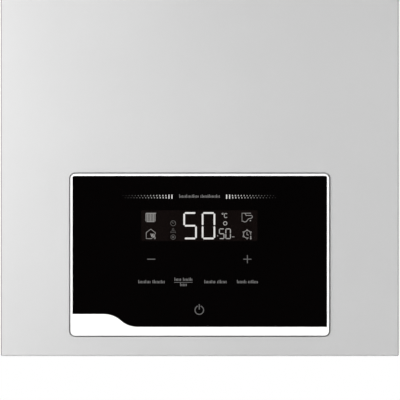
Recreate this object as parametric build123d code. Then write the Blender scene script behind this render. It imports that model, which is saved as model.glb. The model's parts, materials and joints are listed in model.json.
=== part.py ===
from build123d import *
import math
import os

# Wall-hung condensing combi boiler. Millimetres, +Z up, front towards -Y, wall plane at Y = 0.
# The origin lies on the wall, midway between the two fixing holes of the wall bracket.

# ---- casing ----
casing_width = 420.0
casing_height = 720.0
casing_depth = 320.0
top_above_bracket = 60.0
skin = 1.0                     # painted sheet
back_sheet = 1.5               # galvanised sheet
side_flange = 15.0
cover_return = 30.0
cover_hem = 14.0
cover_corner = 2.0
cover_edge = 2.0
seal_thickness = 3.0
seal_width = 5.0
seal_inset = 1.5
locating_pin_radius = 2.5
locating_pin_length = 15.0
locating_pin_inset = 11.5
locating_pin_end = 50.0        # pin centre to the casing's top or bottom
back_gap = 12.5                # behind the back panel
back_return = 26.0
skirt_height = 55.0            # open recess under the base plate
base_flange = 14.0
base_depth = 216.0
loose = 0.3                    # clearance around a part that isn't a fit
running = 0.05                 # radial clearance of a shaft in its bearing
shaft_end_gap = 1.0            # beyond the end of a shaft in a blind hole
joined = 1.0                   # how far two shapes of one casting run into each other
picked = 0.01                  # how near a place an edge has to lie to be picked

# ---- wall bracket and hooks ----
bracket_length = 300.0
bracket_height = 50.0
bracket_sheet = 2.0
bracket_reach = 11.0
lip_height = 12.0
bracket_hole_spacing = 250.0
bracket_hole_radius = 4.5
hook_width = 30.0
hook_spacing = 190.0
hook_sheet = 3.0
hook_tab_sheet = 1.5
hook_tab_height = 18.0
hook_drop = 10.0
hook_lip_gap = 2.0

# ---- control panel in the cover's window ----
panel_width = 272.2
panel_height = 170.25
panel_above_bottom = 21.8
panel_corner = 5.0
panel_gap = 1.6                # shadow gap between panel and cover
panel_proud = 1.5
window_lip = 8.0
frame_band = 2.0               # white border beside and above the glass
frame_band_low = 9.1           # below the glass, right part
frame_band_tab = 22.6          # below the glass, left part
sweep_start = -101.0           # the S-curve that joins the two lower edges
sweep_end = -65.6
glass_thickness = 3.0
glass_recess = 0.3
glass_corner = 2.0
frame_face = 5.0
frame_wall = 2.0
frame_depth = 21.5
display_width = 122.4
display_height = 32.7
display_drop = 38.35           # panel top to the display's top edge
display_depth = 6.2
board_thickness = 1.6
touch_board_width = 220.0
touch_board_height = 140.0
boss_radius = 4.0
control_box_inset = 4.0        # behind the panel's edge
control_box_depth = 46.0
control_box_wall = 2.5
control_box_flange = 3.0
main_board_margin = 12.0
main_board_standoff = 16.0
component_margin = 15.0
component_gap = 6.0
mains_transformer_width = 45.0
mains_transformer_height = 42.0
mains_transformer_depth = 28.0
relay_count = 4
relay_width = 20.0
relay_height = 26.0
relay_depth = 16.0
capacitor_count = 3
capacitor_radius = 6.0
capacitor_length = 22.0
connector_count = 7
connector_width = 22.0
connector_height = 12.0
connector_depth = 12.0
arm_sheet = 2.5
arm_height = 100.0

# ---- heat exchanger ----
cell_x = -70.0
cell_drop = 180.0              # casing top to the cell's axis
cell_radius = 105.0
cell_wall = 2.5
cell_depth = 165.0
cell_boss_radius = 60.0
cell_boss_length = 26.0
cell_rim_radius = 114.0
cell_rim = 4.0
coil_bore_radius = 62.0
coil_outer_radius = 92.0
coil_turns = 8
coil_pitch = 17.0
coil_tube_gap = 1.5
coil_cage = 4.0
coil_stand = 6.0
coil_tube_flat = 0.5
coil_wall = 1.2
door_thickness = 8.0
door_duct_height = 48.0
door_duct_depth = 35.0
duct_wall = 3.0
door_port_radius = 31.0
stud_circle_radius = 108.0
stud_count = 6
stud_radius = 3.0
stud_length = 15.0
stud_start = 30.0
nut_across_corners = 5.5
nut_height = 5.0
insulation_radius = 58.0
insulation_thickness = 18.0
burner_radius = 33.0
burner_wall = 1.0
burner_length = 125.0
electrode_radius = 4.0
electrode_tip_radius = 1.2
electrode_circle = 46.0
electrode_angle = 30.0
electrode_collar_radius = 7.0
electrode_collar_height = 4.0
electrode_reach = 24.0
electrode_tip_length = 54.0
water_spigot_radius = 11.5
water_spigot_drop = 26.0
spigot_spare = 2.0             # beyond the end of a pipe in its socket
flow_spigot_x = -150.0
return_spigot_x = 0.0
drain_radius = 10.0
drain_bore = 8.2
drain_length = 15.0
drain_y = -150.0

# ---- fan, mixer and silencer ----
fan_x = 125.0
fan_drop = 30.0                # below the cell's axis
fan_radius = 60.0
fan_wall = 3.0
fan_joint_x = 55.0
flange_thickness = 4.0
flange_margin = 6.0
fan_inlet_radius = 24.0
wheel_radius = 46.0
wheel_eye_radius = 26.0
wheel_width = 20.0
wheel_plate = 2.0
blade_count = 14
blade_thickness = 1.5
blade_sweep = 30.0
wheel_hub_radius = 9.0
fan_shaft_radius = 3.0
motor_radius = 38.0
motor_length = 32.0
motor_fin_count = 12
motor_fin_depth = 3.0
motor_fin_end = 6.0
mixer_radius = 32.0
mixer_throat = 18.0
mixer_length = 54.0
mixer_flange = 6.0
gas_port_radius = 12.0
gas_port_reach = 46.0
gas_port_setback = 34.0        # behind the fan
silencer_x0 = 72.0
silencer_side_gap = 9.0
silencer_back = 30.0
silencer_height = 150.0
silencer_wall = 2.5
silencer_overlap = 5.0
silencer_corner = 8.0
intake_mouth_radius = 22.0
intake_mouth_height = 20.0

# ---- flue ----
flue_x = 0.0
flue_y = -120.0
flue_radius = 30.0
flue_wall = 1.5
flue_spigot_wall = 2.5
flue_spigot_drop = 65.0
flue_insert = 25.0
flue_fit = 0.2                 # radial clearance between flue pipes
air_outer_radius = 47.0
collar_outer_radius = 50.0
collar_height = 33.0
collar_skirt = 20.0
collar_wall = 1.8
stop_width = 2.0
stop_height = 2.0
adapter_flange_radius = 66.0
adapter_flange = 3.0
rib_thickness = 2.5
rib_height = 9.0
rib_count = 4
rib_start = 45.0

# ---- gas valve and pipes ----
valve_width = 65.0
valve_depth = 64.0
valve_height = 68.0
valve_drop = 66.0              # below the mixer's gas port
valve_boss_radius = 14.0
valve_boss_height = 12.0
solenoid_radius = 14.0
solenoid_length = 23.0
solenoid_gap = 3.0
solenoid_rise = 12.0
test_port_radius = 8.0
test_port_length = 8.0
test_port_drop = 20.0
valve_corner = 5.0
valve_bore_depth = 20.0
riser_radius = 9.0
gas_pipe_radius = 11.0
gas_drop = 30.0                # below the valve
gas_turn_height = 25.0
gas_inlet_nut_radius = 17.0
pipe_wall = 1.0
pipe_bend = 22.0
union_radius = 14.0
union_height = 10.0
nut_grip = 0.1                 # how far a nut's bore runs into its pipe

# ---- water side ----
tail_y = -110.0
tail_end = 5.0                 # above the casing's bottom edge
heating_tail_x = 130.0
domestic_tail_x = 65.0
heating_tail_radius = 11.0
domestic_tail_radius = 7.5
tail_fit = 0.1
tail_insert = 7.0
tail_nut_height = 12.0
tail_nut_margin = 4.0
water_pipe_radius = 9.0
pipe_insert = 10.0
block_x0 = 50.0
block_x1 = 150.0
block_front = -145.0
block_back = -80.0
block_height = 55.0
block_fillet = 4.0
port_boss_x = 75.0
port_boss_y = 16.0
port_boss_radius = 8.0
port_boss_height = 5.0
exchanger_half_width = 88.0
exchanger_depth = 62.0
exchanger_height = 45.0
exchanger_plates = 12
exchanger_groove = 1.6
exchanger_groove_width = 1.0
exchanger_corner = 8.0
exchanger_end_plate = 3.0
tower_radius = 20.0
tower_height = 45.0
stem_radius = 4.0
stem_disc_radius = 11.5
stem_disc_thickness = 6.0
stem_stand = 10.0              # stem's end into the actuator
stem_end_gap = 4.0
chamber_radius = 13.0
chamber_top = 10.0
diverter_travel = 8.0
actuator_width = 50.0
actuator_height = 55.0
actuator_corner = 10.0
actuator_chamfer = 3.0
pump_rise = 93.0               # base plate to the pump's axis
pump_radius = 34.0
pump_front = -150.0
pump_back = -90.0
pump_cavity_radius = 26.0
pump_motor_radius = 42.0
pump_motor_length = 60.0
pump_shaft_radius = 3.0
pump_shaft_reach = 20.0
pump_wall = 8.0
pump_motor_round = 6.0
pump_head_half_width = 25.0
pump_head_height = 12.0
pump_head_inset = 10.0
pump_inlet_radius = 14.0
impeller_radius = 22.0
impeller_width = 14.0
impeller_gap = 4.0
impeller_plate = 3.0
vane_count = 6
vane_thickness = 2.0
pump_port_radius = 12.0
pump_port_rise = 42.0
vent_x = 160.0
vent_radius = 12.0
vent_seat_rise = 32.0
vent_height = 48.0
vent_seat_radius = 14.0
vent_hex_margin = 1.5
vent_hex_height = 8.0
vent_chamfer = 3.0
vent_cap_radius = 6.0
vent_cap_height = 10.0
vent_groove_count = 12
vent_groove_radius = 0.6
vent_stem_radius = 2.5
vent_stem_depth = 12.0
turbine_radius = 8.0
turbine_bore = 9.0
turbine_height = 20.0
turbine_blades = 5
turbine_shaft = 1.0
turbine_gap = 1.0
turbine_head_room = 3.0
turbine_bearing = 4.0
turbine_hub_radius = 2.5
turbine_blade_thickness = 1.4
sensor_ring = 4.0
sensor_ring_wall = 2.0
sensor_ring_fit = 0.1
sensor_bar = 3.6
relief_x = 85.0
relief_rise = 30.0
relief_radius = 11.0
relief_length = 40.0
relief_hex_margin = 3.0
relief_hex_length = 12.0
relief_shaft_radius = 3.0
relief_shaft_depth = 12.0
relief_flute_count = 10
relief_knob_radius = 15.0
relief_knob_length = 20.0
relief_outlet_radius = 7.5
relief_outlet_y = -170.0
fill_x = 97.5
fill_shaft_radius = 4.0
fill_knob_radius = 12.0
fill_knob_height = 26.0
fill_knob_gap = 6.0
fill_shaft_depth = 16.0
fill_flute_count = 8
flute_radius = 3.0
flute_offset = 1.5             # flute's centre outside the knob's rim
pressure_x = -95.0
pressure_radius = 9.0
pressure_length = 34.0
pressure_hex_margin = 3.0
pressure_hex_length = 10.0
pressure_plug_width = 14.0
pressure_plug_height = 10.0
pressure_plug_length = 12.0
flow_pipe_x = -178.0
flow_entry_rise = 27.0
flow_slant_start = 30.0        # below the heat exchanger's spigot
flow_slant_end = 75.0
return_cross_rise = 205.0

# ---- expansion vessel and its hose ----
vessel_half_width = 165.0
vessel_depth = 62.0
vessel_wall = 1.5
vessel_cell_gap = 15.0
vessel_rise = 65.0
vessel_round = 24.0
vessel_seam = 5.0
vessel_seam_thickness = 2.0
vessel_seam_setback = 18.0     # vessel's back to the middle of its seam
vessel_port_x = 100.0
vessel_port_y = -45.0
vessel_port_radius = 10.0
vessel_port_length = 5.0
hose_radius = 6.0
hose_bore = 4.0
hose_drop = 26.0
hose_bend = 15.0
hose_fit = 0.1                 # between a hose and its spigot

# ---- condensate trap ----
trap_x = -162.0
trap_front_gap = 30.0          # base plate's front edge to the trap's axis
trap_radius = 22.0
trap_wall = 3.0
trap_height = 105.0
trap_flange_radius = 25.5
trap_flange = 4.0
trap_inlet_radius = 6.0
trap_inlet_height = 16.0
trap_inlet_wall = 1.5
cup_gap = 0.5
cup_wall = 2.5
cup_insert = 40.0
cup_bottom = 10.0              # above the casing's bottom edge
cup_grip_radius = 24.0
cup_grip_height = 12.0
cup_grip_count = 16
cup_flute_radius = 2.5
drain_pipe_radius = 10.75
drain_pipe_wall = 1.5
drain_pipe_reach = 19.0
drain_pipe_rise = 45.0
drain_bend = 14.0
condensate_hose_radius = 8.0
condensate_bend = 30.0
hose_lead = 55.0                # straight end of the hose before it slants

# ---- electrics ----
transformer_depth = 55.0
transformer_width = 37.0
transformer_height = 55.0
transformer_drop = 35.0
transformer_y = -205.0
transformer_corner = 5.0
lead_socket_radius = 5.0
lead_socket_length = 14.0
lead_socket_inset = 15.0
lead_socket_back = 20.0
gland_x = 170.0
gland_front_gap = 18.0
gland_thread_radius = 10.0
gland_hex = 13.0
gland_bore = 5.0
gland_inside = 10.0
gland_hex_height = 8.0
gland_length = 22.0
gland_round = 3.0

# ---- places worked out from the sizes above ----
half = casing_width / 2
top = top_above_bracket
bottom = top - casing_height
front = -casing_depth
cover_back = front + cover_return
chassis_front = cover_back + seal_thickness
inner_half = half - skin
inner_top = top - skin
base_top = bottom + skirt_height
base_bottom = base_top - skin
back_front = -(back_gap + back_sheet)
lip_top = bracket_height / 2 + lip_height

panel_bottom = bottom + panel_above_bottom
panel_top = panel_bottom + panel_height
panel_z = (panel_bottom + panel_top) / 2
panel_front = front - panel_proud
glass_front = panel_front + glass_recess
glass_back = glass_front + glass_thickness
frame_inner = panel_front + frame_face
frame_back = panel_front + frame_depth
display_top = panel_top - display_drop
display_z = display_top - display_height / 2
touch_front = glass_back + display_depth
box_back = frame_back + control_box_depth
control_box_width = panel_width - 2 * control_box_inset
control_box_height = panel_height - 2 * control_box_inset
main_board_width = control_box_width - 2 * (control_box_wall + main_board_margin)
main_board_height = control_box_height - 2 * (control_box_wall + main_board_margin)

cell_z = top - cell_drop
cell_back = back_front - cell_boss_length
cell_front = cell_back - cell_depth
rim_front = cell_front - cell_rim
door_front = rim_front - door_thickness
duct_front = door_front - door_duct_depth
fan_back = duct_front + door_duct_depth + fan_wall
coil_length = coil_turns * coil_pitch
coil_front = cell_back - cell_wall - coil_length - coil_stand
motor_front = duct_front - motor_length
mixer_back = fan_back + mixer_length
silencer_front = mixer_back - silencer_overlap
fan_z = cell_z - fan_drop
gas_port_y = fan_back + gas_port_setback
gas_port_z = fan_z - gas_port_reach
silencer_x1 = inner_half - silencer_side_gap
silencer_z0 = fan_z - silencer_height / 2
silencer_z1 = fan_z + silencer_height / 2
flue_spigot_top = top - flue_spigot_drop
transformer_z1 = top - transformer_drop
transformer_z0 = transformer_z1 - transformer_height
collar_inner_radius = flue_radius + flue_fit

valve_z1 = gas_port_z - valve_drop
valve_z0 = valve_z1 - valve_height
valve_top = valve_z1 + valve_boss_height
valve_base = valve_z0 - valve_boss_height
gas_drop_z = valve_base - gas_drop
tail_bottom = bottom + tail_end
tail_top = base_top + tail_insert
block_top = base_top + block_height
exchanger_z0 = block_top + port_boss_height
tower_top = block_top + tower_height
chamber_z1 = block_top + chamber_top
chamber_z0 = chamber_z1 - diverter_travel - stem_disc_thickness - 2 * stem_stand
pump_z = base_top + pump_rise
pump_port_top = pump_z + pump_port_rise
vent_seat_z = pump_z + vent_seat_rise
relief_z = base_top + relief_rise
flow_pipe_entry = base_top + flow_entry_rise
return_cross_z = base_top + return_cross_rise
vessel_bottom = base_top + vessel_rise
vessel_top = cell_z - cell_radius - vessel_cell_gap
vessel_back = back_front
vessel_front = back_front - vessel_depth
trap_y = trap_front_gap - base_depth
trap_top = base_top + trap_height
drain_pipe_y = trap_y + trap_radius + drain_pipe_reach
drain_pipe_z = base_top + drain_pipe_rise
gland_y = gland_front_gap - base_depth
cup_radius = trap_radius - trap_wall - cup_gap
cup_floor = bottom + cup_bottom
flow_exit_z = cell_z - math.sqrt(cell_radius**2 - (flow_spigot_x - cell_x) ** 2)
return_exit_z = cell_z - math.sqrt(cell_radius**2 - (return_spigot_x - cell_x) ** 2)
flow_spigot_z = flow_exit_z - water_spigot_drop
return_spigot_z = return_exit_z - water_spigot_drop
drain_z = cell_z - cell_radius - drain_length
turbine_z0 = base_top + tail_insert + sensor_ring + turbine_gap
turbine_z1 = turbine_z0 + turbine_height
turbine_bore_top = turbine_z1 + turbine_head_room
relief_front = block_front - relief_length
vent_top = vent_seat_z + vent_height
fill_knob_top = base_bottom - fill_knob_gap
vessel_port_z = vessel_bottom - vessel_seam - vessel_port_length


# ---- simple shapes, placed by their limits ----
def block(x0, x1, y0, y1, z0, z1):
    centre = Pos((x0 + x1) / 2, (y0 + y1) / 2, (z0 + z1) / 2)
    return centre * Box(abs(x1 - x0), abs(y1 - y0), abs(z1 - z0))


def rod_y(x, z, radius, y0, y1):
    return Pos(x, (y0 + y1) / 2, z) * Rot(90, 0, 0) * Cylinder(radius, abs(y1 - y0))


def rod_z(x, y, radius, z0, z1):
    return Pos(x, y, (z0 + z1) / 2) * Cylinder(radius, abs(z1 - z0))


def hex_z(x, y, radius, z0, z1):
    outline = RegularPolygon(radius, 6)
    return Pos(x, y, min(z0, z1)) * extrude(outline, abs(z1 - z0))


def hex_y(x, z, radius, y0, y1):
    outline = RegularPolygon(radius, 6)
    return Pos(x, max(y0, y1), z) * Rot(90, 0, 0) * extrude(outline, abs(y1 - y0))


def plate_y(outline, y0, y1):
    # An outline drawn in X and Z, with thickness from y0 (front) to y1 (back).
    return Pos(0, y1, 0) * Rot(90, 0, 0) * extrude(outline, y1 - y0)


def around_y(x, z, radius, count, start=0.0):
    step = 2 * math.pi / count
    angles = [math.radians(start) + step * index for index in range(count)]
    return [(x + radius * math.cos(a), z + radius * math.sin(a)) for a in angles]


def around_z(x, y, radius, count):
    angles = [2 * math.pi * index / count for index in range(count)]
    return [(x + radius * math.cos(a), y + radius * math.sin(a)) for a in angles]


def edges_at_y(shape, y):
    return [e for e in shape.edges() if abs(e.center().Y - y) < picked]


def pipe(points, bend, radius, bore):
    # A round pipe along straight runs that arcs join.
    route = FilletPolyline(*points, radius=bend)
    end = Plane(origin=route @ 0, z_dir=route % 0)
    ring = Circle(radius) - Circle(bore)
    return sweep(end * ring, path=route)


def both_sides(make):
    return make(-1) + make(1)


def group(solids):
    return Compound(children=solids)


# ---- casing ----
def wall_bracket():
    long = bracket_length / 2
    tall = bracket_height / 2
    plate = block(-long, long, -bracket_sheet, 0, -tall, tall)
    shelf = block(-long, long, -bracket_reach, 0, tall - bracket_sheet, tall)
    lip = block(-long, long, -bracket_reach, -bracket_reach + bracket_sheet, tall - bracket_sheet, lip_top)
    bracket = plate + shelf + lip
    for side in (-1, 1):
        bracket -= rod_y(side * bracket_hole_spacing / 2, 0, bracket_hole_radius, -bracket_sheet, 0)
    return bracket


def hanger_hook(side):
    centre = side * hook_spacing / 2
    x0 = centre - hook_width / 2
    x1 = centre + hook_width / 2
    leg_front = bracket_sheet + hook_lip_gap - bracket_reach
    tip = leg_front + hook_sheet
    tab_front = -back_gap
    tab = block(x0, x1, tab_front, tab_front + hook_tab_sheet, lip_top, lip_top + hook_tab_height)
    arm = block(x0, x1, tab_front, tip, lip_top, lip_top + hook_sheet)
    leg = block(x0, x1, leg_front, tip, lip_top - hook_drop, lip_top + hook_sheet)
    return tab + arm + leg


def hanger_hooks():
    return group([hanger_hook(-1), hanger_hook(1)])


def back_panel():
    low = bottom + 2 * skin
    sheet = block(-inner_half, inner_half, back_front, -back_gap, low, inner_top)

    def side_return(side):
        outer = side * inner_half
        inner = side * (inner_half - back_sheet)
        return block(inner, outer, back_front - back_return, back_front, base_top, inner_top - side_flange)

    return sheet + both_sides(side_return)


def pin_places():
    xs = (-(half - locating_pin_inset), half - locating_pin_inset)
    zs = (bottom + locating_pin_end, top - locating_pin_end)
    return [(x, z) for x in xs for z in zs]


def side_panel(side):
    outer = side * half
    inner = side * inner_half
    flange = side * (half - side_flange)
    sheet = block(inner, outer, chassis_front, 0, bottom, top)
    rear = block(flange, outer, -skin, 0, bottom, inner_top)
    fore = block(flange, outer, chassis_front, chassis_front + skin, bottom, inner_top)
    panel = sheet + rear + fore
    for x, z in pin_places():
        hole_radius = locating_pin_radius + loose
        panel -= rod_y(x, z, hole_radius, chassis_front, chassis_front + skin)
    return panel


def top_plate():
    flange_half = half - side_flange
    sheet = block(-inner_half, inner_half, chassis_front, 0, inner_top, top)
    fore = block(-flange_half, flange_half, chassis_front, chassis_front + skin, top - side_flange, top)
    rear = block(-flange_half, flange_half, -skin, 0, top - side_flange, top)
    return sheet + fore + rear - rod_z(flue_x, flue_y, air_outer_radius, inner_top, top)


def base_holes():
    # Each hole in the base plate: centre and radius.
    holes = [(trap_x, trap_y, cup_radius + 2 * cup_gap)]
    holes += [(trap_x, drain_pipe_y, drain_pipe_radius + loose)]
    holes += [(relief_x, relief_outlet_y, relief_outlet_radius + loose)]
    holes += [(fill_x, tail_y, fill_shaft_radius + loose)]
    holes += [(gland_x, gland_y, gland_thread_radius + loose)]
    holes += [(0, tail_y, gas_pipe_radius + loose)]
    for side in (-1, 1):
        holes += [(side * heating_tail_x, tail_y, heating_tail_radius + loose)]
        holes += [(side * domestic_tail_x, tail_y, domestic_tail_radius + loose)]
    return holes


def base_plate():
    plate = block(-inner_half, inner_half, -base_depth, back_front, base_bottom, base_top)
    lip = block(-inner_half, inner_half, -base_depth, skin - base_depth, base_bottom, base_top + base_flange)

    def side_flange_of_base(side):
        outer = side * inner_half
        inner = side * (inner_half - skin)
        rear = back_front - back_return
        return block(inner, outer, -base_depth, rear - skin, base_bottom, base_top + base_flange)

    plate = plate + lip + both_sides(side_flange_of_base)
    for x, y, radius in base_holes():
        plate -= rod_z(x, y, radius, base_bottom, base_top)
    return plate


def window_outline(extra):
    width = panel_width + 2 * (panel_gap + extra)
    height = panel_height + 2 * (panel_gap + extra)
    return Pos(0, panel_z) * RectangleRounded(width, height, panel_corner + panel_gap + extra)


def pan(inset):
    # The folded cover's outer shape, or its inner shape when inset by the sheet.
    y0 = front + inset
    reach = half - inset
    body = block(-reach, reach, y0, cover_back, bottom + inset, top - inset)
    upright = [e for e in body.edges().filter_by(Axis.Z) if abs(e.center().Y - y0) < picked]
    body = fillet(upright, cover_corner - inset)
    level = [e for e in body.edges().filter_by(Axis.X) if abs(e.center().Y - y0) < picked]
    return fillet(level, cover_edge - inset)


def front_cover():
    hem_reach = half - cover_hem
    hollow = pan(skin) - block(-half, half, cover_back - skin, cover_back, bottom, top)
    mouth = block(-hem_reach, hem_reach, cover_back - skin, cover_back, bottom + cover_hem, top - cover_hem)
    lip = plate_y(window_outline(skin), front, front + window_lip)
    shell = pan(0) - hollow - mouth + lip
    return shell - plate_y(window_outline(0), front, front + window_lip)


def cover_seal():
    x1 = half - seal_inset
    z0 = bottom + cover_hem
    z1 = top - seal_inset

    def upright(side):
        return block(side * (x1 - seal_width), side * x1, cover_back, chassis_front, z0, z1)

    level = block(-x1, x1, cover_back, chassis_front, z1 - seal_width, z1)
    return level + both_sides(upright)


def cover_pins():
    pins = []
    for x, z in pin_places():
        end = cover_back + locating_pin_length
        pin = rod_y(x, z, locating_pin_radius, cover_back, end)
        pins.append(chamfer(edges_at_y(pin, end), locating_pin_radius / 2))
    return group(pins)


# ---- control panel ----
def glass_outline():
    # Upper edge, right side, lower edge, S-curve of two equal arcs, raised left part, left side.
    side = panel_width / 2 - frame_band
    high = panel_top - frame_band
    low = panel_bottom + frame_band_low
    tab = panel_bottom + frame_band_tab
    middle = ((sweep_start + sweep_end) / 2, (low + tab) / 2)
    corner = glass_corner
    right = Line((side, high - corner), (side, low))
    lower = Line((side, low), (sweep_end, low))
    first = TangentArc((sweep_end, low), middle, tangent=(-1, 0))
    second = TangentArc(middle, (sweep_start, tab), tangent=first % 1)
    raised = Line((sweep_start, tab), (-side, tab))
    left = Line((-side, tab), (-side, high - corner))
    left_round = TangentArc((-side, high - corner), (corner - side, high), tangent=(0, 1))
    upper = Line((corner - side, high), (side - corner, high))
    right_round = TangentArc((side - corner, high), (side, high - corner), tangent=(1, 0))
    edges = [right, lower, first, second, raised, left, left_round, upper, right_round]
    return make_face([curve.edge() for curve in edges])


def panel_outline(inset):
    width = panel_width - 2 * inset
    height = panel_height - 2 * inset
    return Pos(0, panel_z) * RectangleRounded(width, height, panel_corner - inset)


def display_outline():
    return Pos(0, display_z) * Rectangle(display_width, display_height)


def board_corners(width, height):
    across = width / 2 - 2 * boss_radius
    up = height / 2 - 2 * boss_radius
    return [(x, panel_z + z) for x in (-across, across) for z in (-up, up)]


def panel_frame():
    face = plate_y(panel_outline(0), panel_front, frame_inner)
    rim = panel_outline(0) - panel_outline(frame_wall)
    frame = face + plate_y(rim, frame_inner, frame_back)
    frame -= plate_y(glass_outline(), panel_front, glass_back)
    frame -= plate_y(display_outline(), glass_back, frame_inner)
    for x, z in board_corners(touch_board_width, touch_board_height):
        frame += rod_y(x, z, boss_radius, frame_inner, touch_front)
    return frame


def panel_glass():
    return plate_y(glass_outline(), glass_front, glass_back)


def display_module():
    return plate_y(display_outline(), glass_back, touch_front)


def touch_board():
    board = Pos(0, panel_z) * Rectangle(touch_board_width, touch_board_height)
    return plate_y(board, touch_front, touch_front + board_thickness)


def control_box():
    outline = Pos(0, panel_z) * RectangleRounded(control_box_width, control_box_height, panel_corner)
    inner_width = control_box_width - 2 * control_box_wall
    inner_height = control_box_height - 2 * control_box_wall
    hollow = Pos(0, panel_z) * RectangleRounded(inner_width, inner_height, panel_corner - control_box_wall)
    box = plate_y(outline, frame_back, box_back)
    box += plate_y(panel_outline(0), frame_back, frame_back + control_box_flange)
    box -= plate_y(hollow, frame_back, box_back - control_box_wall)
    boss_front = box_back - control_box_wall - main_board_standoff
    for x, z in board_corners(main_board_width, main_board_height):
        box += rod_y(x, z, boss_radius, boss_front, box_back - control_box_wall)

    def arm(side):
        inner = side * (control_box_width / 2 - control_box_wall)
        outer = side * (inner_half - skin)
        y0 = chassis_front + skin
        tall = arm_height / 2
        return block(inner, outer, y0, y0 + arm_sheet, panel_z - tall, panel_z + tall)

    return box + both_sides(arm)


def main_board():
    back = box_back - control_box_wall - main_board_standoff
    face = back - board_thickness
    board = Pos(0, panel_z) * Rectangle(main_board_width, main_board_height)
    pieces = [plate_y(board, face, back)]
    # Mains transformer, relays and capacitors above, a row of connectors below.
    x = component_margin - main_board_width / 2
    upper = panel_z + main_board_height / 2 - component_margin
    lower = upper - mains_transformer_height
    front_y = face - mains_transformer_depth
    pieces.append(block(x, x + mains_transformer_width, front_y, face, lower, upper))
    x += mains_transformer_width + component_gap
    for _ in range(relay_count):
        pieces.append(block(x, x + relay_width, face - relay_depth, face, upper - relay_height, upper))
        x += relay_width + component_gap
    for _ in range(capacitor_count):
        z = lower + capacitor_radius
        pieces.append(rod_y(x + capacitor_radius, z, capacitor_radius, face - capacitor_length, face))
        x += 2 * capacitor_radius + component_gap
    x = component_margin - main_board_width / 2
    low = panel_z - main_board_height / 2 + component_gap
    for _ in range(connector_count):
        z1 = low + connector_height
        pieces.append(block(x, x + connector_width, face - connector_depth, face, low, z1))
        x += connector_width + component_gap
    return group(pieces)


# ---- heat exchanger and burner ----
def heat_exchanger_shell():
    # Barrel with its rim and spigots, and the back wall that is welded on.
    wall_front = cell_back - cell_wall
    outer = rod_y(cell_x, cell_z, cell_radius, cell_front, wall_front)
    outer += rod_y(cell_x, cell_z, cell_rim_radius, rim_front, cell_front)
    outer += rod_z(flue_x, flue_y, flue_radius + flue_fit + flue_spigot_wall, cell_z, flue_spigot_top)
    for x, end in ((flow_spigot_x, flow_spigot_z), (return_spigot_x, return_spigot_z)):
        outer += rod_z(x, tail_y, water_spigot_radius, end, cell_z)
    outer += rod_z(cell_x, drain_y, drain_radius, drain_z, cell_z)
    inner = rod_y(cell_x, cell_z, cell_radius - cell_wall, rim_front, wall_front)
    inner += rod_z(flue_x, flue_y, flue_radius + flue_fit, cell_z, flue_spigot_top)
    inner += rod_z(cell_x, drain_y, drain_bore, drain_z, cell_z)
    for x, end in ((flow_spigot_x, flow_spigot_z), (return_spigot_x, return_spigot_z)):
        inner += rod_z(x, tail_y, water_pipe_radius + tail_fit, end, end + pipe_insert + spigot_spare)
    back_wall = rod_y(cell_x, cell_z, cell_radius, wall_front, cell_back)
    back_wall += rod_y(cell_x, cell_z, cell_boss_radius, cell_back, back_front)
    return group([outer - inner, back_wall])


def heat_exchanger_coil():
    # The wound tube's ring pack with its cage, turned about the cell's axis.
    tube = coil_pitch - coil_tube_gap
    depth = coil_outer_radius - coil_bore_radius
    middle = (coil_outer_radius + coil_bore_radius) / 2
    y0 = coil_front
    cage_y = (y0 + cell_back - cell_wall) / 2
    outline = Pos(middle, cage_y) * Rectangle(coil_cage, cell_back - cell_wall - y0)
    for index in range(coil_turns):
        y = y0 + coil_pitch * (index + 0.5)
        outline += Pos(middle, y) * RectangleRounded(depth, tube, tube / 2 - coil_tube_flat)
    bore = tube - 2 * coil_wall
    for index in range(coil_turns):
        y = y0 + coil_pitch * (index + 0.5)
        outline -= Pos(middle, y) * RectangleRounded(depth - 2 * coil_wall, bore, bore / 2 - coil_tube_flat)
    return Pos(cell_x, 0, cell_z) * revolve(outline, Axis.Y)


def burner_door():
    door = rod_y(cell_x, cell_z, cell_rim_radius, door_front, rim_front)
    high = door_duct_height / 2
    low = high - duct_wall
    wide = high + flange_margin
    door += rod_y(cell_x, cell_z, high, duct_front, door_front)
    door += block(cell_x, fan_joint_x, duct_front, door_front, cell_z - high, cell_z + high)
    flange_y0 = duct_front - flange_margin
    flange_y1 = door_front + flange_margin
    joint = fan_joint_x - flange_thickness
    door += block(joint, fan_joint_x, flange_y0, flange_y1, cell_z - wide, cell_z + wide)
    inner_y = door_front - duct_wall
    door -= rod_y(cell_x, cell_z, low, duct_front + duct_wall, inner_y)
    door -= block(cell_x, fan_joint_x, duct_front + duct_wall, inner_y, cell_z - low, cell_z + low)
    door -= rod_y(cell_x, cell_z, min(low, door_port_radius), inner_y, rim_front)
    for x, z in electrode_places():
        door -= rod_y(x, z, electrode_radius + loose, door_front, rim_front)
    for x, z in around_y(cell_x, cell_z, stud_circle_radius, stud_count, stud_start):
        door -= rod_y(x, z, stud_radius + loose, door_front, rim_front)
    return door


def door_nuts():
    nuts = []
    for x, z in around_y(cell_x, cell_z, stud_circle_radius, stud_count, stud_start):
        stud = rod_y(x, z, stud_radius, rim_front - stud_length, rim_front)
        nuts.append(stud + hex_y(x, z, nut_across_corners, door_front - nut_height, door_front))
    return group(nuts)


def electrode_places():
    angles = (90 - electrode_angle, 90 + electrode_angle)
    return [around_y(cell_x, cell_z, electrode_circle, 1, angle)[0] for angle in angles]


def door_insulation():
    disc = rod_y(cell_x, cell_z, insulation_radius, rim_front, rim_front + insulation_thickness)
    disc -= rod_y(cell_x, cell_z, burner_radius + loose, rim_front, rim_front + insulation_thickness)
    for x, z in electrode_places():
        disc -= rod_y(x, z, electrode_radius + loose, rim_front, rim_front + insulation_thickness)
    return disc


def burner_tube():
    end = rim_front + burner_length
    tube = rod_y(cell_x, cell_z, burner_radius, rim_front, end)
    return tube - rod_y(cell_x, cell_z, burner_radius - burner_wall, rim_front, end - burner_wall)


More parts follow.
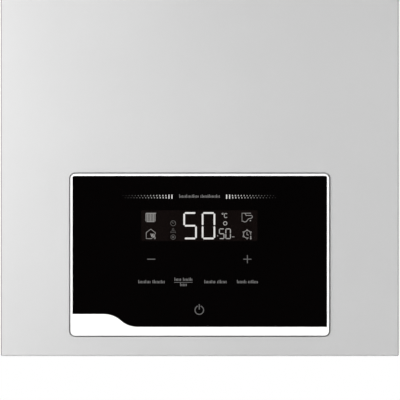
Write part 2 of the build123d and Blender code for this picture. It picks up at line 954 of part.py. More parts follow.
def electrode(x, z):
    collar = rod_y(x, z, electrode_collar_radius, door_front - electrode_collar_height, door_front)
    body = rod_y(x, z, electrode_radius, door_front - electrode_reach, rim_front + insulation_thickness)
    tip = rod_y(x, z, electrode_tip_radius, rim_front, rim_front + electrode_tip_length)
    return collar + body + tip


def ignition_electrode():
    return electrode(*electrode_places()[0])


def flame_sensor():
    return electrode(*electrode_places()[1])


# ---- fan, mixer and silencer ----
def fan_outline(inset):
    high = door_duct_height / 2 - inset
    scroll = Pos(fan_x, fan_z) * Circle(fan_radius - inset)
    centre = (fan_joint_x + fan_x) / 2
    return scroll + Pos(centre, cell_z) * Rectangle(fan_x - fan_joint_x, 2 * high)


def fan_housing():
    high = door_duct_height / 2 + flange_margin
    housing = plate_y(fan_outline(0), duct_front, fan_back)
    flange_end = fan_joint_x + flange_thickness
    y0 = duct_front - flange_margin
    y1 = door_front + flange_margin
    housing += block(fan_joint_x, flange_end, y0, y1, cell_z - high, cell_z + high)
    housing -= plate_y(fan_outline(fan_wall), duct_front + fan_wall, fan_back - fan_wall)
    housing -= block(fan_joint_x, flange_end, duct_front + fan_wall, fan_back - fan_wall,
                     cell_z - door_duct_height / 2 + fan_wall, cell_z + door_duct_height / 2 - fan_wall)
    housing -= rod_y(fan_x, fan_z, fan_inlet_radius, fan_back - fan_wall, fan_back)
    return housing - rod_y(fan_x, fan_z, 2 * fan_shaft_radius, duct_front, duct_front + fan_wall)


def fan_impeller():
    plate_front = duct_front + 2 * fan_wall
    blade_front = plate_front + wheel_plate
    blade_back = blade_front + wheel_width
    wheel = rod_y(0, 0, wheel_radius, plate_front, blade_front)
    blade_length = wheel_radius - wheel_eye_radius
    middle = (wheel_radius + wheel_eye_radius) / 2
    half_blade = blade_thickness / 2
    blade = block(-blade_length / 2, blade_length / 2, blade_front, blade_back, -half_blade, half_blade)
    for index in range(blade_count):
        turn = Rot(0, 360 / blade_count * index, 0)
        wheel += turn * Pos(middle, 0, 0) * Rot(0, blade_sweep, 0) * blade
    rim = rod_y(0, 0, wheel_radius + wheel_plate, blade_back - wheel_plate, blade_back)
    wheel += rim - rod_y(0, 0, wheel_radius - wheel_plate, blade_back - wheel_plate, blade_back)
    wheel += rod_y(0, 0, wheel_hub_radius, plate_front, blade_back - wheel_plate)
    wheel += rod_y(0, 0, fan_shaft_radius, duct_front - motor_length / 2, blade_front)
    return Pos(fan_x, 0, fan_z) * wheel


def fan_motor():
    body = rod_y(fan_x, fan_z, motor_radius, motor_front, duct_front)
    body = fillet(edges_at_y(body, motor_front), motor_fin_depth)
    for x, z in around_y(fan_x, fan_z, motor_radius, motor_fin_count):
        body -= rod_y(x, z, motor_fin_depth, motor_front + motor_fin_end, duct_front - motor_fin_end)
    bore = fan_shaft_radius + running
    return body - rod_y(fan_x, fan_z, bore, duct_front - motor_length / 2 - shaft_end_gap, duct_front)


def air_gas_mixer():
    mixer = rod_y(fan_x, fan_z, mixer_radius, fan_back, mixer_back)
    mixer += rod_y(fan_x, fan_z, mixer_radius + mixer_flange, fan_back, fan_back + mixer_flange)
    mixer += rod_z(fan_x, gas_port_y, gas_port_radius, gas_port_z, fan_z)
    mixer -= rod_y(fan_x, fan_z, mixer_throat, fan_back, mixer_back)
    taper = Cone(fan_inlet_radius, mixer_throat, mixer_length / 2)
    mixer -= Pos(fan_x, fan_back + mixer_length / 4, fan_z) * Rot(-90, 0, 0) * taper
    mixer -= Pos(fan_x, mixer_back - mixer_length / 4, fan_z) * Rot(90, 0, 0) * taper
    return mixer - rod_z(fan_x, gas_port_y, riser_radius - pipe_wall, gas_port_z, fan_z)


def intake_silencer():
    y1 = -silencer_back
    box = block(silencer_x0, silencer_x1, silencer_front, y1, silencer_z0, silencer_z1)
    box = fillet(box.edges().filter_by(Axis.Z), silencer_corner)
    wall = silencer_wall
    mouth_x = (silencer_x0 + silencer_x1) / 2
    mouth_y = (silencer_front + y1) / 2
    mouth_top = silencer_z1 + intake_mouth_height
    box += rod_z(mouth_x, mouth_y, intake_mouth_radius + wall, silencer_z1, mouth_top)
    x0 = silencer_x0 + wall
    x1 = silencer_x1 - wall
    box -= block(x0, x1, silencer_front + wall, y1 - wall, silencer_z0 + wall, silencer_z1 - wall)
    box -= rod_z(mouth_x, mouth_y, intake_mouth_radius, silencer_z1 - wall, mouth_top)
    return box - rod_y(fan_x, fan_z, mixer_radius + loose, silencer_front, silencer_front + wall)


# ---- flue ----
def flue_duct():
    z0 = flue_spigot_top - flue_insert
    z1 = top
    duct = rod_z(flue_x, flue_y, flue_radius, z0, z1)
    return duct - rod_z(flue_x, flue_y, flue_radius - flue_wall, z0, z1)


def flue_adapter():
    z0 = top
    z1 = top + collar_height
    low = top - collar_skirt
    wall_radius = collar_inner_radius + collar_wall
    adapter = rod_z(flue_x, flue_y, adapter_flange_radius, z0, z0 + adapter_flange)
    adapter += rod_z(flue_x, flue_y, collar_outer_radius, z0, z1)
    adapter -= rod_z(flue_x, flue_y, air_outer_radius, z0, z1)
    adapter += rod_z(flue_x, flue_y, wall_radius, low, z1)
    length = air_outer_radius + joined
    rib = block(0, length, -rib_thickness / 2, rib_thickness / 2, z0, z0 + rib_height)
    for index in range(rib_count):
        adapter += Pos(flue_x, flue_y, 0) * Rot(0, 0, rib_start + 360 / rib_count * index) * rib
    stop_z1 = top + stop_height
    adapter -= rod_z(flue_x, flue_y, collar_inner_radius, low, top)
    adapter -= rod_z(flue_x, flue_y, flue_radius - stop_width, top, stop_z1)
    return adapter - rod_z(flue_x, flue_y, collar_inner_radius, stop_z1, z1)


# ---- gas ----
def gas_valve():
    x0 = fan_x - valve_width / 2
    x1 = fan_x + valve_width / 2
    y0 = gas_port_y - valve_depth / 2
    y1 = gas_port_y + valve_depth / 2
    body = block(x0, x1, y0, y1, valve_z0, valve_z1)
    body = fillet(body.edges(), valve_corner)
    body += rod_z(fan_x, gas_port_y, valve_boss_radius, valve_z1 - joined, valve_top)
    body += rod_z(fan_x, gas_port_y, valve_boss_radius, valve_base, valve_z0 + joined)
    middle = (valve_z0 + valve_z1) / 2
    for side in (-1, 1):
        x = fan_x + side * (solenoid_radius + solenoid_gap / 2)
        body += rod_y(x, middle + solenoid_rise, solenoid_radius, y0 - solenoid_length, y0 + joined)
    port_z = middle - test_port_drop
    body += rod_y(fan_x, port_z, test_port_radius, y0 - test_port_length, y0 + joined)
    for z0, z1 in ((valve_base, valve_base + valve_bore_depth), (valve_top - valve_bore_depth, valve_top)):
        body -= rod_z(fan_x, gas_port_y, riser_radius - pipe_wall, z0, z1)
    return body


def gas_riser_pipe():
    bore = riser_radius - pipe_wall
    pipe_solid = rod_z(fan_x, gas_port_y, riser_radius, valve_top, gas_port_z)
    pipe_solid += hex_z(fan_x, gas_port_y, union_radius, valve_top, valve_top + union_height)
    pipe_solid += hex_z(fan_x, gas_port_y, union_radius, gas_port_z - union_height, gas_port_z)
    return pipe_solid - rod_z(fan_x, gas_port_y, bore, valve_top, gas_port_z)


def gas_supply_pipe():
    bore = gas_pipe_radius - pipe_wall
    low = base_top + gas_turn_height
    route = [
        (fan_x, gas_port_y, valve_base),
        (fan_x, gas_port_y, gas_drop_z),
        (0, gas_port_y, gas_drop_z),
        (0, gas_port_y, low),
        (0, tail_y, low),
        (0, tail_y, base_top),
    ]
    run = pipe(route, pipe_bend, gas_pipe_radius, bore)
    nut_z0 = valve_base - union_height
    nut = hex_z(fan_x, gas_port_y, gas_inlet_nut_radius, nut_z0, valve_base)
    nut -= rod_z(fan_x, gas_port_y, gas_pipe_radius - nut_grip, nut_z0, valve_base)
    return run + nut + tail(0, gas_pipe_radius, base_top)


# ---- water side ----
def manifold_body(side):
    x0 = side * block_x0
    x1 = side * block_x1
    body = block(x0, x1, block_front, block_back, base_top, block_top)
    body = fillet(body.edges().filter_by(Axis.Z), block_fillet)
    for y in (-port_boss_y, port_boss_y):
        z1 = exchanger_z0
        body += rod_z(side * port_boss_x, tail_y + y, port_boss_radius, block_top - joined, z1)
    for x, radius in ((heating_tail_x, heating_tail_radius), (domestic_tail_x, domestic_tail_radius)):
        body -= rod_z(side * x, tail_y, radius + tail_fit, base_top, base_top + tail_insert)
    return body


def flow_manifold():
    body = manifold_body(-1)
    x = -heating_tail_x
    body += rod_z(x, tail_y, tower_radius, block_top - joined, tower_top)
    body -= rod_z(x, tail_y, chamber_radius, chamber_z0, chamber_z1)
    return body - rod_z(x, tail_y, stem_radius + running, chamber_z1, tower_top)


def diverter_stem():
    x = -heating_tail_x
    disc_z0 = chamber_z0 + stem_stand
    stem = rod_z(x, tail_y, stem_radius, disc_z0, tower_top + stem_stand)
    return stem + rod_z(x, tail_y, stem_disc_radius, disc_z0, disc_z0 + stem_disc_thickness)


def diverter_actuator():
    x = -heating_tail_x
    z1 = tower_top + actuator_height
    wide = actuator_width / 2
    body = block(x - wide, x + wide, tail_y - wide, tail_y + wide, tower_top, z1)
    body = fillet(body.edges().filter_by(Axis.Z), actuator_corner)
    body = chamfer(body.faces().sort_by(Axis.Z)[-1].edges(), actuator_chamfer)
    well = stem_stand + diverter_travel + stem_end_gap
    return body - rod_z(x, tail_y, stem_radius + loose, tower_top, tower_top + well)


def return_manifold():
    body = manifold_body(1)
    z0 = base_top + tail_insert
    body -= rod_z(domestic_tail_x, tail_y, turbine_bore, z0, turbine_bore_top)
    bearing_top = turbine_bore_top + turbine_bearing
    body -= rod_z(domestic_tail_x, tail_y, turbine_shaft + running, turbine_bore_top, bearing_top)
    return body - rod_z(fill_x, tail_y, fill_shaft_radius + running, base_top, base_top + fill_shaft_depth)


def plate_heat_exchanger():
    z1 = exchanger_z0 + exchanger_height
    y0 = tail_y - exchanger_depth / 2
    y1 = tail_y + exchanger_depth / 2
    wide = exchanger_half_width
    body = block(-wide, wide, y0, y1, exchanger_z0, z1)
    body = fillet(body.edges().filter_by(Axis.Z), exchanger_corner)
    core = wide - exchanger_groove
    core_y0 = y0 + exchanger_groove
    core_y1 = y1 - exchanger_groove
    ring = block(-wide, wide, y0, y1, 0, exchanger_groove_width)
    ring -= block(-core, core, core_y0, core_y1, 0, exchanger_groove_width)
    pitch = (exchanger_height - 2 * exchanger_end_plate) / exchanger_plates
    for index in range(exchanger_plates):
        z = exchanger_z0 + exchanger_end_plate + pitch * (index + 0.5)
        body -= Pos(0, 0, z) * ring
    return body


def pump_body():
    body = rod_y(heating_tail_x, pump_z, pump_radius, pump_front, pump_back)
    body += rod_z(heating_tail_x, tail_y, pump_inlet_radius, block_top, pump_z)
    body += rod_z(heating_tail_x, tail_y, pump_port_radius, pump_z, pump_port_top)
    body += rod_z(vent_x, tail_y, vent_seat_radius, pump_z, vent_seat_z)
    body -= rod_y(heating_tail_x, pump_z, pump_cavity_radius, pump_front + pump_wall, pump_back - pump_wall)
    z0 = pump_port_top - pipe_insert
    body -= rod_z(heating_tail_x, tail_y, water_pipe_radius + tail_fit, z0, pump_port_top)
    bore = pump_shaft_radius + running
    return body - rod_y(heating_tail_x, pump_z, bore, pump_front, pump_front + pump_wall)


def pump_impeller():
    y0 = pump_front + pump_wall + impeller_gap
    y1 = y0 + impeller_width
    wheel = rod_y(0, 0, impeller_radius, y0, y0 + impeller_plate)
    wheel += rod_y(0, 0, impeller_radius, y1 - impeller_plate, y1)
    wheel += rod_y(0, 0, 2 * pump_shaft_radius, y0, y1)
    half_vane = vane_thickness / 2
    vane = block(pump_shaft_radius, impeller_radius - joined, y0, y1, -half_vane, half_vane)
    for index in range(vane_count):
        wheel += Rot(0, 360 / vane_count * index, 0) * vane
    wheel += rod_y(0, 0, pump_shaft_radius, pump_front - pump_shaft_reach, y0)
    return Pos(heating_tail_x, 0, pump_z) * wheel


def pump_motor():
    y0 = pump_front - pump_motor_length
    body = rod_y(heating_tail_x, pump_z, pump_motor_radius, y0, pump_front)
    body = fillet(edges_at_y(body, y0), pump_motor_round)
    x0 = heating_tail_x - pump_head_half_width
    x1 = heating_tail_x + pump_head_half_width
    head = pump_z + pump_motor_radius + pump_head_height
    body += block(x0, x1, y0 + pump_head_inset, pump_front - pump_head_inset, pump_z, head)
    bore = pump_shaft_radius + running
    shaft_end = pump_front - pump_shaft_reach - shaft_end_gap
    return body - rod_y(heating_tail_x, pump_z, bore, shaft_end, pump_front)


def air_vent():
    hex_top = vent_seat_z + vent_hex_height
    body = rod_z(vent_x, tail_y, vent_radius, vent_seat_z, vent_top)
    body += hex_z(vent_x, tail_y, vent_radius + vent_hex_margin, vent_seat_z, hex_top)
    body = chamfer(body.faces().sort_by(Axis.Z)[-1].edges(), vent_chamfer)
    return body - rod_z(vent_x, tail_y, vent_stem_radius + running, vent_top - vent_stem_depth, vent_top)


def air_vent_cap():
    cap_top = vent_top + vent_cap_height
    cap = rod_z(vent_x, tail_y, vent_cap_radius, vent_top, cap_top)
    for x, y in around_z(vent_x, tail_y, vent_cap_radius, vent_groove_count):
        cap -= rod_z(x, y, vent_groove_radius, vent_top, cap_top)
    stem_end = vent_top - vent_stem_depth + shaft_end_gap
    return cap + rod_z(vent_x, tail_y, vent_stem_radius, stem_end, vent_top + joined)


def flow_sensor():
    # Bearing ring under the turbine, resting on the cold water tail.
    z0 = base_top + tail_insert
    z1 = z0 + sensor_ring
    x = domestic_tail_x
    outer = turbine_bore - sensor_ring_fit
    inner = turbine_bore - sensor_ring_wall
    half_bar = sensor_bar / 2
    ring = rod_z(x, tail_y, outer, z0, z1) - rod_z(x, tail_y, inner, z0, z1)
    ring += block(x - inner, x + inner, tail_y - half_bar, tail_y + half_bar, z0, z1)
    return ring - rod_z(x, tail_y, turbine_shaft + running, z0, z1)


def flow_turbine():
    half_blade = turbine_blade_thickness / 2
    z0 = turbine_z0
    hub = rod_z(0, 0, turbine_hub_radius, z0, turbine_z1)
    wing = block(0, turbine_radius, -half_blade, half_blade, z0 + turbine_gap, turbine_z1 - turbine_gap)
    for index in range(turbine_blades):
        hub += Rot(0, 0, 360 / turbine_blades * index) * wing
    shaft_top = turbine_bore_top + turbine_bearing - shaft_end_gap
    hub += rod_z(0, 0, turbine_shaft, z0 - sensor_ring, shaft_top)
    return Pos(domestic_tail_x, tail_y, 0) * hub


def relief_valve():
    hex_front = block_front - relief_hex_length
    body = rod_y(relief_x, relief_z, relief_radius, relief_front, block_front)
    body += hex_y(relief_x, relief_z, relief_radius + relief_hex_margin, hex_front, block_front)
    body += rod_z(relief_x, relief_outlet_y, relief_outlet_radius, tail_bottom, relief_z)
    body -= rod_z(relief_x, relief_outlet_y, relief_outlet_radius - pipe_wall, tail_bottom, relief_z)
    bore = relief_shaft_radius + running
    return body - rod_y(relief_x, relief_z, bore, relief_front, relief_front + relief_shaft_depth)


def relief_knob():
    y0 = relief_front - relief_knob_length
    knob = rod_y(relief_x, relief_z, relief_knob_radius, y0, relief_front - loose)
    rim = relief_knob_radius + flute_offset
    for x, z in around_y(relief_x, relief_z, rim, relief_flute_count):
        knob -= rod_y(x, z, flute_radius, y0, relief_front)
    shaft_end = relief_front + relief_shaft_depth - shaft_end_gap
    return knob + rod_y(relief_x, relief_z, relief_shaft_radius, relief_front - joined, shaft_end)


def filling_knob():
    z0 = fill_knob_top - fill_knob_height
    knob = rod_z(fill_x, tail_y, fill_knob_radius, z0, fill_knob_top)
    for x, y in around_z(fill_x, tail_y, fill_knob_radius + flute_offset, fill_flute_count):
        knob -= rod_z(x, y, flute_radius, z0, fill_knob_top)
    shaft_end = base_top + fill_shaft_depth - shaft_end_gap
    return knob + rod_z(fill_x, tail_y, fill_shaft_radius, fill_knob_top - joined, shaft_end)


def pressure_sensor():
    y0 = block_front - pressure_length
    body = rod_y(pressure_x, relief_z, pressure_radius, y0, block_front)
    hex_front = block_front - pressure_hex_length
    body += hex_y(pressure_x, relief_z, pressure_radius + pressure_hex_margin, hex_front, block_front)
    wide = pressure_plug_width / 2
    tall = pressure_plug_height / 2
    plug_front = y0 - pressure_plug_length
    body += block(pressure_x - wide, pressure_x + wide, plug_front, y0, relief_z - tall, relief_z + tall)
    return body


def tail(x, radius, z1):
    nut_bottom = base_bottom - tail_nut_height
    tube = rod_z(x, tail_y, radius, tail_bottom, z1)
    tube += hex_z(x, tail_y, radius + tail_nut_margin, nut_bottom, base_bottom)
    return tube - rod_z(x, tail_y, radius - pipe_wall, tail_bottom, z1)


def domestic_tails():
    return group([tail(side * domestic_tail_x, domestic_tail_radius, tail_top) for side in (-1, 1)])


def flow_pipe():
    end = flow_spigot_z + pipe_insert
    route = [
        (flow_spigot_x, tail_y, end),
        (flow_spigot_x, tail_y, flow_spigot_z - flow_slant_start),
        (flow_pipe_x, tail_y, flow_spigot_z - flow_slant_end),
        (flow_pipe_x, tail_y, flow_pipe_entry),
        (-block_x1, tail_y, flow_pipe_entry),
    ]
    return pipe(route, pipe_bend, water_pipe_radius, water_pipe_radius - pipe_wall)


def return_pipe():
    end = return_spigot_z + pipe_insert
    route = [
        (heating_tail_x, tail_y, pump_port_top - pipe_insert),
        (heating_tail_x, tail_y, return_cross_z),
        (return_spigot_x, tail_y, return_cross_z),
        (return_spigot_x, tail_y, end),
    ]
    return pipe(route, pipe_bend, water_pipe_radius, water_pipe_radius - pipe_wall)


def vessel_shape(inset):
    wide = vessel_half_width - inset
    z0 = vessel_bottom + inset
    z1 = vessel_top - inset
    body = block(-wide, wide, vessel_front + inset, vessel_back - inset, z0, z1)
    body = fillet(body.edges().filter_by(Axis.Y), 2 * vessel_round - inset)
    return fillet(body.faces().sort_by(Axis.Y)[0].edges(), vessel_round - inset)


def expansion_vessel():
    # Two pressed shells that meet at the rolled seam; the port is on the front one.
    seam_y = vessel_back - vessel_seam_setback
    half_seam = vessel_seam_thickness / 2
    wide = vessel_half_width + vessel_seam
    high = vessel_top + vessel_seam
    seam_height = vessel_top - vessel_bottom + 2 * vessel_seam
    seam = Pos(0, (vessel_top + vessel_bottom) / 2)
    seam = seam * RectangleRounded(2 * wide, seam_height, 2 * vessel_round + vessel_seam)
    body = vessel_shape(0) + plate_y(seam, seam_y - half_seam, seam_y + half_seam)
    port_top = vessel_bottom + vessel_seam
    body += rod_z(vessel_port_x, vessel_port_y, vessel_port_radius, vessel_port_z, port_top)
    body -= rod_z(vessel_port_x, vessel_port_y, hose_bore, vessel_port_z, port_top)
    body -= vessel_shape(vessel_wall)
    front_shell = body & block(-wide, wide, vessel_front, seam_y, vessel_port_z, high)
    rear_shell = body & block(-wide, wide, seam_y, vessel_back, vessel_port_z, high)
    return group([front_shell, rear_shell])


def expansion_hose():
    low = vessel_port_z - hose_drop
    route = [
        (vessel_port_x, vessel_port_y, vessel_port_z),
        (vessel_port_x, vessel_port_y, low),
        (vessel_port_x, block_back, low),
    ]
    return pipe(route, hose_bend, hose_radius, hose_bore)


# ---- condensate ----
def condensate_trap():
    inner = trap_radius - trap_wall
    inlet_top = trap_top + trap_inlet_height
    body = rod_z(trap_x, trap_y, trap_radius, base_top, trap_top)
    body += rod_z(trap_x, trap_y, trap_flange_radius, base_top, base_top + trap_flange)
    body += rod_z(trap_x, trap_y, trap_inlet_radius, trap_top - joined, inlet_top)
    body -= rod_z(trap_x, trap_y, inner, base_top, trap_top - trap_wall)
    return body - rod_z(trap_x, trap_y, trap_inlet_radius - trap_inlet_wall, trap_top - trap_wall, inlet_top)


def trap_cup():
    z1 = base_top + cup_insert
    cup = rod_z(trap_x, trap_y, cup_radius, cup_floor, z1)
    cup += rod_z(trap_x, trap_y, cup_grip_radius, cup_floor, cup_floor + cup_grip_height)
    for x, y in around_z(trap_x, trap_y, cup_grip_radius + flute_offset, cup_grip_count):
        cup -= rod_z(x, y, cup_flute_radius, cup_floor, cup_floor + cup_grip_height)
    return cup - rod_z(trap_x, trap_y, cup_radius - cup_wall, cup_floor + cup_wall, z1)


def drain_pipe():
    start = trap_y + trap_radius
    route = [
        (trap_x, start, drain_pipe_z),
        (trap_x, drain_pipe_y, drain_pipe_z),
        (trap_x, drain_pipe_y, tail_bottom),
    ]
    return pipe(route, drain_bend, drain_pipe_radius, drain_pipe_radius - drain_pipe_wall)


def condensate_hose():
    inlet_top = trap_top + trap_inlet_height
    route = [
        (cell_x, drain_y, drain_z),
        (cell_x, drain_y, drain_z - hose_lead),
        (trap_x, trap_y, inlet_top + hose_lead),
        (trap_x, trap_y, trap_top),
    ]
    return pipe(route, condensate_bend, condensate_hose_radius, trap_inlet_radius + hose_fit)


# ---- electrics ----
def ignition_transformer():
    x0 = inner_half - transformer_width
    y1 = transformer_y + transformer_depth
    body = block(x0, inner_half, transformer_y, y1, transformer_z0, transformer_z1)
    body = fillet(body.edges().filter_by(Axis.X), transformer_corner)
    x = x0 + lead_socket_inset
    y = transformer_y + lead_socket_back
    low = transformer_z0 - lead_socket_length
    return body + rod_z(x, y, lead_socket_radius, low, transformer_z0 + joined)


def cable_gland():
    low = base_bottom - gland_length
    high = base_top + gland_inside
    gland = rod_z(gland_x, gland_y, gland_thread_radius, low, high)
    gland = fillet(gland.faces().sort_by(Axis.Z)[0].edges(), gland_round)
    gland += hex_z(gland_x, gland_y, gland_hex, base_bottom - gland_hex_height, base_bottom)
    return gland - rod_z(gland_x, gland_y, gland_bore, low, high)


parts = {
    "wall_bracket": wall_bracket,
    "hanger_hooks": hanger_hooks,
    "back_panel": back_panel,
    "side_panel_left": lambda: side_panel(-1),
    "side_panel_right": lambda: side_panel(1),
    "top_plate": top_plate,
    "base_plate": base_plate,
    "front_cover": front_cover,
    "cover_seal": cover_seal,
    "cover_pins": cover_pins,
    "panel_frame": panel_frame,
    "panel_glass": panel_glass,
    "display_module": display_module,
    "touch_board": touch_board,
    "control_box": control_box,
    "main_board": main_board,
    "heat_exchanger_shell": heat_exchanger_shell,
    "heat_exchanger_coil": heat_exchanger_coil,
    "burner_door": burner_door,
    "door_nuts": door_nuts,
    "door_insulation": door_insulation,
    "burner_tube": burner_tube,
    "ignition_electrode": ignition_electrode,
    "flame_sensor": flame_sensor,
    "fan_housing": fan_housing,
    "fan_impeller": fan_impeller,
    "fan_motor": fan_motor,
    "air_gas_mixer": air_gas_mixer,
    "intake_silencer": intake_silencer,
    "flue_duct": flue_duct,
    "flue_adapter": flue_adapter,
    "gas_valve": gas_valve,
    "gas_riser_pipe": gas_riser_pipe,
    "gas_supply_pipe": gas_supply_pipe,
    "flow_manifold": flow_manifold,
    "diverter_stem": diverter_stem,
    "diverter_actuator": diverter_actuator,
    "return_manifold": return_manifold,
    "plate_heat_exchanger": plate_heat_exchanger,
    "pump_body": pump_body,
    "pump_impeller": pump_impeller,
    "pump_motor": pump_motor,
    "air_vent": air_vent,
    "air_vent_cap": air_vent_cap,
    "flow_sensor": flow_sensor,
    "flow_turbine": flow_turbine,
    "relief_valve": relief_valve,
    "relief_knob": relief_knob,
    "filling_knob": filling_knob,
    "pressure_sensor": pressure_sensor,
    "heating_flow_tail": lambda: tail(-heating_tail_x, heating_tail_radius, tail_top),
    "heating_return_tail": lambda: tail(heating_tail_x, heating_tail_radius, tail_top),
    "domestic_tails": domestic_tails,
    "water_pipes": lambda: group([flow_pipe(), return_pipe()]),
    "expansion_vessel": expansion_vessel,
    "expansion_hose": expansion_hose,
    "condensate_trap": condensate_trap,
    "trap_cup": trap_cup,
    "condensate_lines": lambda: group([drain_pipe(), condensate_hose()]),
    "electrical_fittings": lambda: group([ignition_transformer(), cable_gland()]),
}

os.makedirs("parts", exist_ok=True)
for name, make in parts.items():
    export_step(make(), f"parts/{name}.step")
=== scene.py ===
import bpy
import json
import math
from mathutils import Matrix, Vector


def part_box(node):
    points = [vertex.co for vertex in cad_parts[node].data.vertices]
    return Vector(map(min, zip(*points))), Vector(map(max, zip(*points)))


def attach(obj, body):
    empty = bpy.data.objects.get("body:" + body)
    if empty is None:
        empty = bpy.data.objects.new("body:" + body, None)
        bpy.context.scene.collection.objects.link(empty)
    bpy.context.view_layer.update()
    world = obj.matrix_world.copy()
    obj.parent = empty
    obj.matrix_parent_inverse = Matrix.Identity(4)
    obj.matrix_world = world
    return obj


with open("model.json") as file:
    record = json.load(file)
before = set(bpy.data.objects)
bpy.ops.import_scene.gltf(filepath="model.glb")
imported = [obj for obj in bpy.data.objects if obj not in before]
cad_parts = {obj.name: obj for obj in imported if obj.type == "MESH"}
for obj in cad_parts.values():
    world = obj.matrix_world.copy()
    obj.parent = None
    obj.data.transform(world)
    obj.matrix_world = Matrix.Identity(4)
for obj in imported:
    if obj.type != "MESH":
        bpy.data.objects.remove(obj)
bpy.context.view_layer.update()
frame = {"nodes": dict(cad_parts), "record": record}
nodes = frame["nodes"]
mm = 0.001
print("frame loaded:", len(nodes), "nodes")


# ---- modelling helpers ----
def letGo():
    bpy.ops.object.select_all(action="DESELECT")


def pickOnly(obj):
    letGo()
    obj.select_set(True)
    bpy.context.view_layer.objects.active = obj


def applyPlace(obj):
    # the finished piece sits at the origin, with its place in its mesh
    pickOnly(obj)
    bpy.ops.object.transform_apply(location=True, rotation=True, scale=True)


def applyModifiers(obj):
    pickOnly(obj)
    for modifier in list(obj.modifiers):
        bpy.ops.object.modifier_apply(modifier=modifier.name)


def newest():
    return bpy.context.view_layer.objects.active


def startEdit():
    bpy.ops.object.mode_set(mode="EDIT")
    bpy.ops.mesh.select_all(action="SELECT")


def endEdit():
    bpy.ops.object.mode_set(mode="OBJECT")


def closeShape():
    # ends the edit with all faces turned outwards
    bpy.ops.mesh.select_all(action="SELECT")
    bpy.ops.mesh.normals_make_consistent(inside=False)
    endEdit()


def extrude(x, y, z):
    bpy.ops.mesh.extrude_region_move(TRANSFORM_OT_translate={"value": (x, y, z)})


def joinAll(pieces):
    letGo()
    for piece in pieces:
        piece.select_set(True)
    bpy.context.view_layer.objects.active = pieces[0]
    if len(pieces) > 1:
        bpy.ops.object.join()
    return newest()


def copyTo(obj, x, y, z):
    # a copy with its own mesh, moved by this much
    pickOnly(obj)
    bpy.ops.object.duplicate(linked=False)
    twin = newest()
    bpy.ops.transform.translate(value=(x, y, z))
    applyPlace(twin)
    return twin


def finishPiece(obj, name, material, body, smooth=None):
    applyPlace(obj)
    obj.name = name
    obj.data.name = name
    obj.data.materials.clear()
    obj.data.materials.append(material)
    if smooth:
        pickOnly(obj)
        bpy.ops.object.shade_smooth_by_angle(angle=math.radians(smooth))
    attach(obj, body)


# ---- node helpers and shared effects ----
def addNode(tree, kind, **settings):
    node = tree.nodes.new("ShaderNode" + kind)
    for key, value in settings.items():
        setattr(node, key, value)
    return node


def setInputs(node, **values):
    for key, value in values.items():
        node.inputs[key.replace("_", " ")].default_value = value
    return node


socketKinds = {
    "Vector": "NodeSocketVector",
    "Facing": "NodeSocketVector",
    "Dark": "NodeSocketColor",
    "Light": "NodeSocketColor",
    "Color": "NodeSocketColor",
}


def startGroup(name, inputs, outputs):
    # each input has its usual value, or none; what isn't among the kinds above is a number
    group = bpy.data.node_groups.new(name, "ShaderNodeTree")
    for label, value in inputs.items():
        kind = socketKinds.get(label, "NodeSocketFloat")
        socket = group.interface.new_socket(label, in_out="INPUT", socket_type=kind)
        if value is not None:
            socket.default_value = value
    for label in outputs:
        kind = socketKinds.get(label, "NodeSocketFloat")
        group.interface.new_socket(label, in_out="OUTPUT", socket_type=kind)
    return group, group.nodes.new("NodeGroupInput"), group.nodes.new("NodeGroupOutput")


def wire(tree, links):
    # each link: a node and its output, then the node and the input that it feeds
    for source, output, target, entry in links:
        tree.links.new(source.outputs[output], target.inputs[entry])


def remap(tree, span, reach=(0.0, 1.0)):
    # a value inside the span becomes one inside the reach
    node = addNode(tree, "MapRange")
    return setInputs(node, From_Min=span[0], From_Max=span[1], To_Min=reach[0], To_Max=reach[1])


def compute(tree, operation, **settings):
    return addNode(tree, "Math", operation=operation, **settings)


def mixColors(tree, blend="MIX"):
    return addNode(tree, "Mix", data_type="RGBA", blend_type=blend)


wear = {
    # the part of each noise, or of the upward facing, over which an effect sets in
    "tones": (0.32, 0.68),
    "patches": (0.58, 0.75),
    "scratches": (0.93, 1.0),
    "upward": (0.5, 1.0),
    "dustScale": 160.0,
    "dustColor": (0.5, 0.48, 0.45, 1.0),
}


def makeMottle():
    # two close tones drifting over the surface
    inputs = {"Vector": None, "Scale": 20.0, "Dark": None, "Light": None}
    group, start, end = startGroup("mottle", inputs, ["Color", "Mask"])
    noise = setInputs(addNode(group, "TexNoise"), Detail=5.0, Roughness=0.6)
    spread = remap(group, wear["tones"])
    mix = mixColors(group)
    wire(group, [
        (start, "Vector", noise, "Vector"),
        (start, "Scale", noise, "Scale"),
        (noise, "Fac", spread, "Value"),
        (spread, "Result", mix, 0),
        (start, "Dark", mix, 6),
        (start, "Light", mix, 7),
        (mix, 2, end, "Color"),
        (spread, "Result", end, "Mask"),
    ])
    return group


def makeGrain():
    # fine and coarse relief of a coated, moulded, cast or drawn surface
    inputs = {"Vector": None, "Fine": 900.0, "Coarse": 120.0, "Balance": 0.5}
    group, start, end = startGroup("grain", inputs, ["Height"])
    fine = setInputs(addNode(group, "TexNoise"), Detail=3.0, Roughness=0.55)
    coarse = setInputs(addNode(group, "TexNoise"), Detail=2.0, Roughness=0.4)
    mix = addNode(group, "Mix", data_type="FLOAT")
    wire(group, [
        (start, "Vector", fine, "Vector"),
        (start, "Vector", coarse, "Vector"),
        (start, "Fine", fine, "Scale"),
        (start, "Coarse", coarse, "Scale"),
        (start, "Balance", mix, 0),
        (fine, "Fac", mix, 2),
        (coarse, "Fac", mix, 3),
        (mix, 0, end, "Height"),
    ])
    return group


